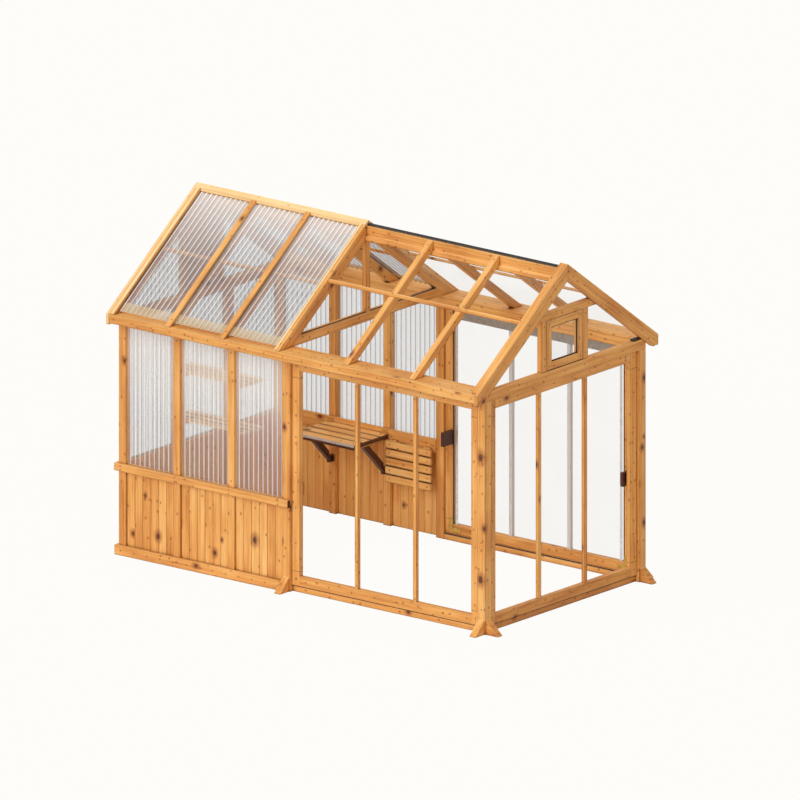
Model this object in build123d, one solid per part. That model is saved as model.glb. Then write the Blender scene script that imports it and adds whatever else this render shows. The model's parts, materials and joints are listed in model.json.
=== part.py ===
from build123d import *
from collections import defaultdict
import math
import os

# Timber greenhouse: a glazed room and an open framed bay under one gable roof.
# X runs along the length with the room at -X, the front is -Y, +Z is up, sizes are in millimetres.

# Overall box
LENGTH = 3840.0
DEPTH = 2270.0
HEIGHT = 2815.0
EAVE_HEIGHT = 1990.0

# Plan
FOOT_REACH = 120.0
EAVE_REACH = 128.0
PARTING_X = -210.0
TRIM_T = 25.0

# Posts, studs and plates
POST = 80.0
CORNER_POST = 70.0
STUD_W = 70.0
STUD_D = 60.0
LITES = 3
PLATE_D = 80.0
PLATE_H = 73.0
EAVE_BOARD_T = 22.0
FASCIA_T = 22.0
FASCIA_H = 72.0
TIE_W = 50.0
TIE_HEEL = 15.64

# Knee wall of the room
BASE_BOARD_H = 80.0
CHAIR_RAIL_LOW = 690.0
CHAIR_RAIL_H = 60.0
CHAIR_RAIL_T = 30.0
KNEE_BOARD_W = 80.0
KNEE_BOARD_T = 16.0
KNEE_SETBACK = 15.0
KNEE_GROOVE = 3.0

# Corrugated sheets
WAVE_PITCH = 50.0
WAVE_HEIGHT = 12.0
SHEET_T = 1.5
SHEET_GAP = 0.4
WALL_SHEET_SETBACK = 22.0

# Roof
RAFTER_W = 50.0
ROOM_RAFTER_H = 68.0
BAY_RAFTER_H = 60.0
GABLE_RAFTER_H = 96.0
BARGE_H = 110.0
BARGE_TIP_H = 85.0
RIDGE_W = 46.0
RIDGE_H = 120.0
BATTEN_T = 22.0
BATTEN_W = 45.0
RIDGE_CAP_W = 48.0
PURLIN_W = 18.0
PURLIN_T = 16.0
PURLIN_PLACE = 505.0
RIDGE_RAIL_W = 25.0
RIDGE_RAIL_T = 25.0
FLASHING_W = 14.0
FLASHING_T = 4.0
BAY_RAFTERS = 2
ROOF_PANE_T = 8.0

# Panel frames of the bay
FRAME_SETBACK = 25.0
FRAME_T = 40.0
FRAME_STILE_W = 80.0
FRAME_RAIL_H = 80.0
MULLION_W = 32.0
MULLION_T = 30.0
GROUND_RAIL_H = 55.0
GROUND_RAIL_D = 40.0
GROUND_RAIL_SETBACK = 14.0
PANE_T = 6.0
PANE_GASKET_W = 10.0

# Feet
FOOT_W = 60.0
FOOT_H = 118.0
FRONT_FOOT_REACH = 112.0

# Middle and right gables
MID_TIE_H = 75.0
SEAL_T = 4.0
SEAL_W = 16.0
KING_POST_X = 40.0
KING_POST_Y = 50.0
COLLAR_SHARE = 0.4897
COLLAR_H = 63.0
JAMB_W = 62.0
GABLE_FRAME_SETBACK = 5.0
SASH_OPENING_W = 456.0
SASH_T = 40.0
SASH_MEMBER_W = 60.0
SASH_GAP = 3.0
SASH_SILL_GAP = 6.0
SASH_HINGE_PLACE = 150.0
SASH_GASKET = 8.0

# Left gable vent
VENT_W = 430.0
VENT_HEADROOM = 99.8
VENT_JAMB_W = 45.0
VENT_JAMB_D = 45.0
VENT_HEAD_H = 45.0
LOUVRE_PITCH = 58.0
LOUVRE_T = 10.0
VENT_PANEL_T = 16.0
LOUVRE_DEG = 40.0

# Shelves on the back wall
LEDGER_T = 22.0
LEDGER_LOW = 690.0
LEDGER_H = 110.0
BENCH_TOP = 760.0
BENCH_DEPTH = 430.0
BENCH_SLATS = 4
BENCH_SLAT_GAP = 20.0
HANG_DEPTH = 340.0
HANG_SLATS = 5
HANG_AXIS_Z = 722.0
SHELF_SLAT_T = 18.0
SHELF_SLAT_GAP = 10.0
BEARER_W = 62.0
BEARER_H = 25.0
SHELF_SIDE_GAP = 8.0
SHELF_WALL_GAP = 2.0
EDGE_STRIP_T = 4.0
BRACE_LOW = 440.0
BRACE_KNUCKLE_H = 40.0
BRACE_BLOCK_D = 20.0
BRACE_LEDGER_GAP = 2.0
BRACE_T = 38.0
BRACE_W = 48.0
BRACE_PIN_R = 4.0
BRACE_ROOT_GAP = 2.0
BRACE_EAR_T = 6.0
RUN_GAP = 0.4

# Butt hinges
HINGE_R = 5.0
HINGE_PIN_R = 2.5
HINGE_LEN = 60.0
HINGE_LEAF = 28.0
HINGE_LEAF_T = 2.0
HINGE_ROOT_GAP = 1.0
PIN_CLEARANCE = 0.05
BORE_OVERRUN = 120.0

# Two-tier shelves on the front wall
TIER_HEIGHTS = (1200.0, 1590.0)
TIER_LENGTH = 750.0
TIER_DEPTH = 235.0
TIER_SLATS = 3
TIER_SLAT_T = 16.0
TIER_BEARER_H = 34.0
TIER_BEARER_W = 30.0

# Blocks on the back frame
BLOCK_W = 28.0
BLOCK_H = 112.0
BLOCK_REACH = 120.0
BLOCK_LOW = 790.0

# Places worked out from the sizes above
FRONT = -1
BACK = 1
SIDES = (FRONT, BACK)
X_LOW = -LENGTH / 2
ROOM_X = X_LOW + TRIM_T
BAY_X = LENGTH / 2 - FOOT_REACH
EAVE_Y = DEPTH / 2
WALL_Y = EAVE_Y - EAVE_REACH
FASCIA_Y = EAVE_Y - FASCIA_T
PLATE_Y = WALL_Y - PLATE_D
EAVE_BOARD_LOW = EAVE_HEIGHT - EAVE_BOARD_T
WALL_HEIGHT = EAVE_BOARD_LOW - PLATE_H
MID_LOW_X = PARTING_X - POST / 2
MID_HIGH_X = PARTING_X + POST / 2
ROOM_BAY_X = (ROOM_X + CORNER_POST, MID_LOW_X)
ROOM_END_Y = WALL_Y - CORNER_POST
FRAME_X = (MID_HIGH_X, BAY_X - POST)
FRAME_HALF_Y = WALL_Y - POST
GABLE_X = BAY_X - TIE_W
PITCH = (HEIGHT - EAVE_HEIGHT) / EAVE_Y
SECANT = math.hypot(1.0, PITCH)
SHEET_DEPTH = WAVE_HEIGHT + SHEET_T
BATTEN_DROP = BATTEN_T * SECANT
SHEET_DROP = BATTEN_DROP + (SHEET_DEPTH + 2 * SHEET_GAP) * SECANT
ROOM_RAFTER_DROP = SHEET_DROP + ROOM_RAFTER_H * SECANT
BAY_RAFTER_DROP = BATTEN_DROP + BAY_RAFTER_H * SECANT
GABLE_RAFTER_DROP = GABLE_RAFTER_H * SECANT
TIE_TOP = EAVE_HEIGHT + PITCH * EAVE_REACH - GABLE_RAFTER_DROP + TIE_HEEL
COLLAR_LOW = EAVE_HEIGHT + COLLAR_SHARE * (HEIGHT - EAVE_HEIGHT)
VENT_TOP = HEIGHT - PITCH * VENT_W / 2 - ROOM_RAFTER_DROP - VENT_HEADROOM
RIDGE_Y = RIDGE_W / 2
RIDGE_TOP = HEIGHT - PITCH * RIDGE_Y - BATTEN_DROP
RIDGE_LOW = RIDGE_TOP - RIDGE_H
STUD_INNER_Y = WALL_Y - STUD_D
LEDGER_Y = STUD_INNER_Y - LEDGER_T


def span(low, length):
    """Low and high ends of a stretch."""
    return (low, low + length)


def centred(middle, length):
    """Low and high ends of a stretch about its middle."""
    return (middle - length / 2, middle + length / 2)


def across(side, near, far):
    """Low and high Y of a stretch between two distances from the middle, on one side."""
    return tuple(sorted((side * near, side * far)))


def bar(x, y, z):
    """Squared timber or plate between low and high ends on each axis."""
    middle = Pos((x[0] + x[1]) / 2, (y[0] + y[1]) / 2, (z[0] + z[1]) / 2)
    return middle * Box(x[1] - x[0], y[1] - y[0], z[1] - z[0])


def prism_x(points, x):
    """Outline of (Y, Z) points drawn out along X."""
    face = Plane.YZ.offset(x[0]) * Polygon(*points, align=None)
    return extrude(face, amount=x[1] - x[0], dir=(1, 0, 0))


def prism_y(points, y):
    """Outline of (X, Z) points drawn out along Y."""
    face = Plane((0, y[0], 0), x_dir=(1, 0, 0), z_dir=(0, -1, 0)) * Polygon(*points, align=None)
    return extrude(face, amount=y[1] - y[0], dir=(0, 1, 0))


def prism_z(points, z):
    """Outline of (X, Y) points drawn out along Z."""
    return extrude(Pos(0, 0, z[0]) * Polygon(*points, align=None), amount=z[1] - z[0], dir=(0, 0, 1))


def roof_z(y, drop):
    """Height of the roof plane, lowered by drop, at a distance from the ridge."""
    return HEIGHT - PITCH * y - drop


def roof_y(z, drop):
    """Distance from the ridge at which the roof plane, lowered by drop, reaches a height."""
    return (HEIGHT - drop - z) / PITCH


def slope_board(side, x, y, drops):
    """Board in the slope with plumb-cut ends, between two distances and two drops."""
    outline = [(y[0], roof_z(y[0], drops[0])), (y[1], roof_z(y[1], drops[0]))]
    outline += [(y[1], roof_z(y[1], drops[1])), (y[0], roof_z(y[0], drops[1]))]
    return prism_x([(side * a, b) for a, b in outline], x)


def seated_rafter(side, x, top_y, drops):
    """Rafter whose foot is cut level to sit on the eave board."""
    outline = [(top_y, roof_z(top_y, drops[0])), (roof_y(EAVE_HEIGHT, drops[0]), EAVE_HEIGHT)]
    outline += [(roof_y(EAVE_HEIGHT, drops[1]), EAVE_HEIGHT), (top_y, roof_z(top_y, drops[1]))]
    return prism_x([(side * a, b) for a, b in outline], x)


def lite_spans(x, member):
    """Clear spans and member spans when equal lites share a stretch with members between them."""
    lite = (x[1] - x[0] - (LITES - 1) * member) / LITES
    lites = [span(x[0] + n * (lite + member), lite) for n in range(LITES)]
    members = [span(one[1], member) for one in lites[:-1]]
    return lites, members


ROOM_LITES, ROOM_STUDS = lite_spans(ROOM_BAY_X, STUD_W)
END_LITES, END_STUDS = lite_spans((-ROOM_END_Y, ROOM_END_Y), STUD_W)
PURLIN_Y = centred(PURLIN_PLACE, PURLIN_W / SECANT)


def wave_face(width):
    """Cross section of a corrugated sheet: half waves of arc, centred on its middle line."""
    halves = 2 * max(1, round(width / WAVE_PITCH))
    step = width / halves
    crest = WAVE_HEIGHT / 2
    edges = []
    for low in (-SHEET_T / 2, SHEET_T / 2):
        for n in range(halves):
            start = -width / 2 + n * step
            swell = crest if n % 2 == 0 else -crest
            middle = (start + step / 2, low + swell)
            edges.append(ThreePointArc((start, low), middle, (start + step, low)))
    for end in (-width / 2, width / 2):
        edges.append(Line((end, -SHEET_T / 2), (end, SHEET_T / 2)))
    return make_face(edges)


def upright_sheet(place, width, z, turn):
    """Corrugated sheet standing on edge, its waves upright."""
    sheet = extrude(wave_face(width), amount=z[1] - z[0], dir=(0, 0, 1))
    return Pos(place[0], place[1], z[0]) * Rot(0, 0, turn) * sheet


def slope_sheet(side, x, y, drop):
    """Corrugated sheet lying in the slope, its middle line lowered by drop."""
    run = (y[1] - y[0]) * SECANT
    down = Vector(0, side, -PITCH).normalized()
    start = (sum(x) / 2, side * y[0], roof_z(y[0], drop))
    plane = Plane(start, x_dir=(side, 0, 0), z_dir=down)
    return extrude(plane * wave_face(x[1] - x[0]), amount=run, dir=down)


def posts():
    """Corner posts and studs of the room and the heavier posts of the bay."""
    made = defaultdict(list)
    for side in SIDES:
        corner_y = across(side, ROOM_END_Y, WALL_Y)
        stud_y = across(side, STUD_INNER_Y, WALL_Y)
        post_y = across(side, FRAME_HALF_Y, WALL_Y)
        made["room_posts"].append(bar(span(ROOM_X, CORNER_POST), corner_y, (0, WALL_HEIGHT)))
        made["room_studs"] += [bar(x, stud_y, (0, WALL_HEIGHT)) for x in ROOM_STUDS]
        made["bay_posts"].append(bar((MID_LOW_X, MID_HIGH_X), post_y, (0, WALL_HEIGHT)))
        made["bay_posts"].append(bar((BAY_X - POST, BAY_X), post_y, (0, WALL_HEIGHT)))
    made["room_studs"] += [bar(span(ROOM_X, STUD_D), y, (0, WALL_HEIGHT)) for y in END_STUDS]
    return made


def knee_boards(stretch):
    """Low and high ends of the tongued boards that fill one lite."""
    count = max(1, round((stretch[1] - stretch[0]) / KNEE_BOARD_W))
    width = (stretch[1] - stretch[0]) / count
    return [span(stretch[0] + n * width, width) for n in range(count)]


def knee_board_x(side, x):
    """One upright board of a long wall, grooved where it meets its neighbours outside."""
    outer = side * (WALL_Y - KNEE_SETBACK)
    inner = side * (WALL_Y - KNEE_SETBACK - KNEE_BOARD_T)
    shoulder = outer - side * KNEE_GROOVE
    outline = [(x[0], inner), (x[1], inner), (x[1], shoulder), (x[1] - KNEE_GROOVE, outer)]
    outline += [(x[0] + KNEE_GROOVE, outer), (x[0], shoulder)]
    return prism_z(outline, (0, CHAIR_RAIL_LOW + CHAIR_RAIL_H))


def knee_board_y(y):
    """One upright board of the left wall, grooved where it meets its neighbours outside."""
    outer = ROOM_X + KNEE_SETBACK
    inner = outer + KNEE_BOARD_T
    shoulder = outer + KNEE_GROOVE
    outline = [(inner, y[0]), (inner, y[1]), (shoulder, y[1]), (outer, y[1] - KNEE_GROOVE)]
    outline += [(outer, y[0] + KNEE_GROOVE), (shoulder, y[0])]
    return prism_z(outline, (0, CHAIR_RAIL_LOW + CHAIR_RAIL_H))


def knee_walls():
    """Boarding, base boards and chair rails round the room."""
    made = defaultdict(list)
    base_z = (0, BASE_BOARD_H)
    rail_z = span(CHAIR_RAIL_LOW, CHAIR_RAIL_H)
    for side, word in ((FRONT, "front"), (BACK, "back")):
        boards = [board for lite in ROOM_LITES for board in knee_boards(lite)]
        made[word + "_knee_boards"] = [knee_board_x(side, x) for x in boards]
        base_y = across(side, WALL_Y, WALL_Y + TRIM_T)
        rail_y = across(side, WALL_Y, WALL_Y + CHAIR_RAIL_T)
        made["base_boards"].append(bar((X_LOW, MID_LOW_X), base_y, base_z))
        made["chair_rails"].append(bar((X_LOW, MID_HIGH_X), rail_y, rail_z))
    end_boards = [board for lite in END_LITES for board in knee_boards(lite)]
    made["left_knee_boards"] = [knee_board_y(y) for y in end_boards]
    made["base_boards"].append(bar((X_LOW, ROOM_X), (-WALL_Y, WALL_Y), base_z))
    made["chair_rails"].append(bar((X_LOW, ROOM_X), (-WALL_Y, WALL_Y), rail_z))
    return made


def wall_sheets():
    """Corrugated sheets standing on the knee boards, between the studs."""
    made = defaultdict(list)
    z = (CHAIR_RAIL_LOW + CHAIR_RAIL_H, WALL_HEIGHT)
    for side, word in ((FRONT, "front"), (BACK, "back")):
        y = side * (WALL_Y - WALL_SHEET_SETBACK)
        made[word + "_wall_sheets"] = [
            upright_sheet((sum(x) / 2, y), x[1] - x[0], z, 0) for x in ROOM_LITES]
    x = ROOM_X + WALL_SHEET_SETBACK
    made["left_wall_sheets"] = [upright_sheet((x, sum(y) / 2), y[1] - y[0], z, 90) for y in END_LITES]
    return made


def plates():
    """Wall plates, eave boards and fascias along both eaves, and the plate of the left wall."""
    made = defaultdict(list)
    plate_z = (WALL_HEIGHT, EAVE_BOARD_LOW)
    for side in SIDES:
        x = (ROOM_X, GABLE_X)
        board_y = across(side, PLATE_Y, FASCIA_Y)
        fascia_y = across(side, FASCIA_Y, EAVE_Y)
        fascia_z = (EAVE_HEIGHT - FASCIA_H, EAVE_HEIGHT)
        made["wall_plates"].append(bar(x, across(side, PLATE_Y, WALL_Y), plate_z))
        made["eave_boards"].append(bar(x, board_y, (EAVE_BOARD_LOW, EAVE_HEIGHT)))
        made["fascias"].append(bar((ROOM_X, BAY_X), fascia_y, fascia_z))
    made["wall_plates"].append(bar(span(ROOM_X, CORNER_POST), (-PLATE_Y, PLATE_Y), plate_z))
    return made


def room_rafter_spans():
    """Low and high X of the rafters over the room, the left gable's first and the middle one last."""
    inner = [centred(sum(stud) / 2, RAFTER_W) for stud in ROOM_STUDS]
    return [span(ROOM_X, RAFTER_W)] + inner + [centred(PARTING_X, RAFTER_W)]


def bay_rafter_spans():
    """Low and high X of the rafters between the middle and right gables."""
    step = (BAY_X - PARTING_X) / (BAY_RAFTERS + 1)
    return [centred(PARTING_X + (n + 1) * step, RAFTER_W) for n in range(BAY_RAFTERS)]


def room_roof():
    """Rafters, sheets, cover battens and ridge caps over the room."""
    rafters = room_rafter_spans()
    ridge_x = (rafters[0][1], GABLE_X)
    made = defaultdict(list)
    made["ridge_beam"] = [bar(ridge_x, (-RIDGE_Y, RIDGE_Y), (RIDGE_LOW, RIDGE_TOP))]
    cap_y = RIDGE_CAP_W / SECANT
    sheet_y = (RIDGE_Y + WAVE_HEIGHT, roof_y(EAVE_HEIGHT, SHEET_DROP) - WAVE_HEIGHT)
    sheet_drop = (BATTEN_DROP + SHEET_DROP) / 2
    edges = [ROOM_X] + [sum(x) / 2 for x in rafters[1:-1]] + [rafters[-1][0]]
    sheet_x = [(low + SHEET_GAP, high - SHEET_GAP) for low, high in zip(edges[:-1], edges[1:])]
    purlin_x = [(low[1], high[0]) for low, high in zip(rafters[:-1], rafters[1:])]
    purlin_drops = (SHEET_DROP, SHEET_DROP + PURLIN_T * SECANT)
    for side, word in ((FRONT, "front"), (BACK, "back")):
        drops = (SHEET_DROP, ROOM_RAFTER_DROP)
        made["room_rafters"] += [
            seated_rafter(side, x, 0 if x is rafters[0] else RIDGE_Y, drops) for x in rafters]
        made[word + "_roof_sheets"] = [slope_sheet(side, x, sheet_y, sheet_drop) for x in sheet_x]
        made["purlins"] += [slope_board(side, x, PURLIN_Y, purlin_drops) for x in purlin_x]
        battens = [span(ROOM_X, BATTEN_W)] + [centred(sum(x) / 2, BATTEN_W) for x in rafters[1:-1]]
        strips = [seated_rafter(side, x, cap_y, (0, BATTEN_DROP)) for x in battens]
        end_x = rafters[-1]
        strips.append(seated_rafter(side, end_x, cap_y, (0, SHEET_DROP)))
        made["roof_battens"] += strips
        cap_x = (ROOM_X, end_x[1])
        made["ridge_caps"].append(slope_board(side, cap_x, (0, cap_y), (0, BATTEN_DROP)))
    return made


def bay_roof():
    """Bare rafters, ridge rails, purlins and ridge flashing over the bay, with panes on the back slope."""
    made = defaultdict(list)
    rafters = bay_rafter_spans()
    mid_x = room_rafter_spans()[-1][1]
    bay_x = (mid_x, GABLE_X)
    rail_y = (RIDGE_Y, RIDGE_Y + RIDGE_RAIL_W / SECANT)
    rail_drops = (BAY_RAFTER_DROP, BAY_RAFTER_DROP + RIDGE_RAIL_T * SECANT)
    purlin_drops = (BATTEN_DROP - PURLIN_T * SECANT, BATTEN_DROP)
    for side in SIDES:
        drops = (BATTEN_DROP, BAY_RAFTER_DROP)
        made["bay_rafters"] += [seated_rafter(side, x, RIDGE_Y, drops) for x in rafters]
        made["ridge_rails"].append(slope_board(side, bay_x, rail_y, rail_drops))
        made["purlins"].append(slope_board(side, bay_x, PURLIN_Y, purlin_drops))
    flash_y = FLASHING_W / SECANT
    top = BATTEN_DROP - FLASHING_T * SECANT
    outline = [(-flash_y, roof_z(flash_y, top)), (0, roof_z(0, top)), (flash_y, roof_z(flash_y, top))]
    outline += [(flash_y, roof_z(flash_y, BATTEN_DROP)), (0, roof_z(0, BATTEN_DROP))]
    outline += [(-flash_y, roof_z(flash_y, BATTEN_DROP))]
    made["ridge_flashing"] = [prism_x(outline, bay_x)]
    pane_drop = BATTEN_DROP + (BAY_RAFTER_H - ROOF_PANE_T) * SECANT
    pane_y = (rail_y[1], roof_y(EAVE_HEIGHT, BAY_RAFTER_DROP))
    ends = [mid_x] + [edge for x in rafters for edge in x] + [GABLE_X]
    pane_x = list(zip(ends[0::2], ends[1::2]))
    made["roof_panes"] = [slope_board(BACK, x, pane_y, (pane_drop, BAY_RAFTER_DROP)) for x in pane_x]
    return made


def gables():
    """Bargeboards, tie beams, collar, king post and right-hand gable rafters."""
    made = defaultdict(list)
    barge_drop = BARGE_H * SECANT
    tip = EAVE_HEIGHT - BARGE_TIP_H
    barge = [(0, roof_z(0, 0)), (EAVE_Y, EAVE_HEIGHT), (EAVE_Y, tip), (roof_y(tip, barge_drop), tip)]
    barge.append((0, roof_z(0, barge_drop)))
    left_x = (X_LOW, ROOM_X)
    right_x = span(BAY_X, TRIM_T)
    made["left_bargeboards"] = [prism_x([(s * a, b) for a, b in barge], left_x) for s in SIDES]
    made["right_bargeboards"] = [prism_x([(s * a, b) for a, b in barge], right_x) for s in SIDES]
    gable_x = (GABLE_X, BAY_X)
    made["right_tie_beam"] = [bar(gable_x, (-WALL_Y, WALL_Y), (WALL_HEIGHT, TIE_TOP))]
    drop = GABLE_RAFTER_DROP
    outline = [(0, roof_z(0, 0)), (FASCIA_Y, roof_z(FASCIA_Y, 0)), (FASCIA_Y, roof_z(FASCIA_Y, drop))]
    outline += [(WALL_Y, roof_z(WALL_Y, drop)), (WALL_Y, TIE_TOP)]
    outline += [(roof_y(TIE_TOP, drop), TIE_TOP), (0, roof_z(0, drop))]
    made["right_gable_rafters"] = [prism_x([(s * a, b) for a, b in outline], gable_x) for s in SIDES]
    collar = span(COLLAR_LOW, COLLAR_H)
    ends = [roof_y(z, drop) for z in collar]
    outline = [(-ends[0], collar[0]), (ends[0], collar[0]), (ends[1], collar[1]), (-ends[1], collar[1])]
    frame_x = (GABLE_X, BAY_X - GABLE_FRAME_SETBACK)
    made["gable_frame"] = [prism_x(outline, frame_x)]
    jamb_y = (SASH_OPENING_W / 2, SASH_OPENING_W / 2 + JAMB_W)
    made["gable_frame"] += [bar(frame_x, across(s, *jamb_y), (TIE_TOP, COLLAR_LOW)) for s in SIDES]
    tie = span(EAVE_HEIGHT, MID_TIE_H)
    ends = [roof_y(z, ROOM_RAFTER_DROP) for z in tie]
    outline = [(-ends[0], tie[0]), (ends[0], tie[0]), (ends[1], tie[1]), (-ends[1], tie[1])]
    mid_x = room_rafter_spans()[-1]
    made["middle_truss"] = [prism_x(outline, mid_x)]
    seal_y = roof_y(tie[1] + SEAL_T, ROOM_RAFTER_DROP)
    seal_z = span(tie[1], SEAL_T)
    seal_x = (mid_x[1] - SEAL_W, mid_x[1])
    seals = [bar(seal_x, across(s, KING_POST_Y / 2, seal_y), seal_z) for s in SIDES]
    made["middle_tie_seal"] = seals
    king_x = centred(PARTING_X, KING_POST_X)
    made["middle_truss"].append(bar(king_x, centred(0, KING_POST_Y), (tie[1], RIDGE_LOW)))
    return made


def ladder(x, z, depth, mullion_depth, top_depth):
    """Panel frame laid out on X and Z: stiles, rails and mullions, each with its own depth span."""
    stiles = [span(x[0], FRAME_STILE_W), span(x[1] - FRAME_STILE_W, FRAME_STILE_W)]
    clear = (stiles[0][1], stiles[1][0])
    low_rail = span(z[0], FRAME_RAIL_H)
    top_rail = span(z[1] - FRAME_RAIL_H, FRAME_RAIL_H)
    frame = [bar(one, depth, z) for one in stiles]
    frame += [bar(clear, depth, low_rail), bar(clear, top_depth, top_rail)]
    members = lite_spans(clear, MULLION_W)[1]
    mullions = [bar(one, mullion_depth, (low_rail[1], top_rail[0])) for one in members]
    return frame, mullions


def bay_walls():
    """Panel frames, ground rails, back pane and its gaskets round the open bay."""
    made = defaultdict(list)
    z = (GROUND_RAIL_H, WALL_HEIGHT)
    outer = WALL_Y - FRAME_SETBACK
    inner = outer - FRAME_T
    shallow = outer - MULLION_T
    front = ladder(FRAME_X, z, (-outer, -inner), (-outer, -shallow), (-outer, -inner))
    back = ladder(FRAME_X, z, (inner, outer), (shallow, outer), (shallow, outer))
    end_x = BAY_X - FRAME_SETBACK
    end = ladder((-FRAME_HALF_Y, FRAME_HALF_Y), z, (0, FRAME_T), (0, MULLION_T), (0, FRAME_T))
    turn = Pos(end_x, 0, 0) * Rot(0, 0, 90)
    made["front_frame"], made["frame_mullions"] = front[0], front[1] + back[1]
    made["back_frame"] = back[0]
    made["right_frame"] = [turn * one for one in end[0]]
    made["frame_mullions"] += [turn * one for one in end[1]]
    clear = (FRAME_X[0] + FRAME_STILE_W, FRAME_X[1] - FRAME_STILE_W)
    pane_z = (GROUND_RAIL_H + FRAME_RAIL_H, WALL_HEIGHT)
    pane_y = (shallow - PANE_T, shallow)
    made["back_pane"] = [bar(clear, pane_y, pane_z)]
    gaskets = (span(clear[0], PANE_GASKET_W), span(clear[1] - PANE_GASKET_W, PANE_GASKET_W))
    made["pane_gaskets"] = [bar(x, (inner, pane_y[0]), pane_z) for x in gaskets]
    rail_outer = outer - GROUND_RAIL_SETBACK
    rail_z = (0, GROUND_RAIL_H)
    for side in SIDES:
        rail_y = across(side, rail_outer - GROUND_RAIL_D, rail_outer)
        made["ground_rails"].append(bar(FRAME_X, rail_y, rail_z))
    rail_x = span(end_x - GROUND_RAIL_SETBACK - GROUND_RAIL_D, GROUND_RAIL_D)
    made["ground_rails"].append(bar(rail_x, (-FRAME_HALF_Y, FRAME_HALF_Y), rail_z))
    return made


def feet():
    """Wedge feet against the outer faces of the bay posts."""
    wedges = []
    for side in SIDES:
        outline = [(side * WALL_Y, 0), (side * (WALL_Y + FRONT_FOOT_REACH), 0), (side * WALL_Y, FOOT_H)]
        for middle in (PARTING_X, BAY_X - POST / 2):
            wedges.append(prism_x(outline, centred(middle, FOOT_W)))
        outline = [(BAY_X, 0), (BAY_X + FOOT_REACH, 0), (BAY_X, FOOT_H)]
        wedges.append(prism_y(outline, centred(side * (WALL_Y - POST / 2), FOOT_W)))
    return {"feet": wedges}


def hinge():
    """Butt hinge about X: fixed leaf upright behind the axis, moving leaf flat below it, and its pin."""
    knuckle = HINGE_LEN / 3
    places = [span(-HINGE_LEN / 2 + n * knuckle, knuckle) for n in range(3)]
    places = [(low + RUN_GAP / 2, high - RUN_GAP / 2) for low, high in places]
    whole = centred(0, HINGE_LEN)
    root = HINGE_R + HINGE_ROOT_GAP
    plate = (HINGE_R - HINGE_LEAF_T, HINGE_R)
    bore = Rot(0, 90, 0) * Cylinder(HINGE_PIN_R + PIN_CLEARANCE, HINGE_LEN + BORE_OVERRUN)

    def barrel(x):
        """One knuckle of the barrel."""
        return Pos(sum(x) / 2, 0, 0) * Rot(0, 90, 0) * Cylinder(HINGE_R, x[1] - x[0])

    fixed = bar(whole, plate, (root, HINGE_LEAF))
    for x in (places[0], places[2]):
        fixed += barrel(x) + bar(x, plate, (0, root))
    moving = bar(whole, (-HINGE_LEAF, -root), (-plate[1], -plate[0]))
    moving += barrel(places[1]) + bar(places[1], (-root, 0), (-plate[1], -plate[0]))
    pin = Rot(0, 90, 0) * Cylinder(HINGE_PIN_R, HINGE_LEN)
    return fixed - bore, moving - bore, pin


def sash():
    """Top-hung sash in the right gable, with its pane, gasket and hinges."""
    made = defaultdict(list)
    outer = BAY_X - GABLE_FRAME_SETBACK
    x = (outer - SASH_T, outer)
    half = SASH_OPENING_W / 2 - SASH_GAP
    z = (TIE_TOP + SASH_SILL_GAP, COLLAR_LOW - SASH_GAP)
    clear = half - SASH_MEMBER_W
    clear_z = (z[0] + SASH_MEMBER_W, z[1] - SASH_MEMBER_W)
    made["sash_frame"] = [bar(x, across(s, clear, half), z) for s in SIDES]
    made["sash_frame"] += [bar(x, (-clear, clear), (z[0], clear_z[0]))]
    made["sash_frame"] += [bar(x, (-clear, clear), (clear_z[1], z[1]))]
    pane_x = centred(sum(x) / 2, PANE_T)
    made["sash_pane"] = [bar(pane_x, (-clear, clear), clear_z)]
    gasket_x = span(pane_x[1], SASH_GASKET)
    ring = bar(gasket_x, (-clear, clear), clear_z)
    hole_z = (clear_z[0] + SASH_GASKET, clear_z[1] - SASH_GASKET)
    made["sash_gasket"] = [ring - bar(gasket_x, centred(0, 2 * (clear - SASH_GASKET)), hole_z)]
    fixed, moving, pin = hinge()
    for side in SIDES:
        place = Pos(outer + HINGE_R, side * SASH_HINGE_PLACE, COLLAR_LOW - SASH_GAP / 2) * Rot(0, 0, 90)
        made["fixed_hinge_leaves"].append(place * fixed)
        made["sash_hinge_leaves"].append(place * Rot(90, 0, 0) * moving)
        made["hinge_pins"].append(place * pin)
    return made


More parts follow.
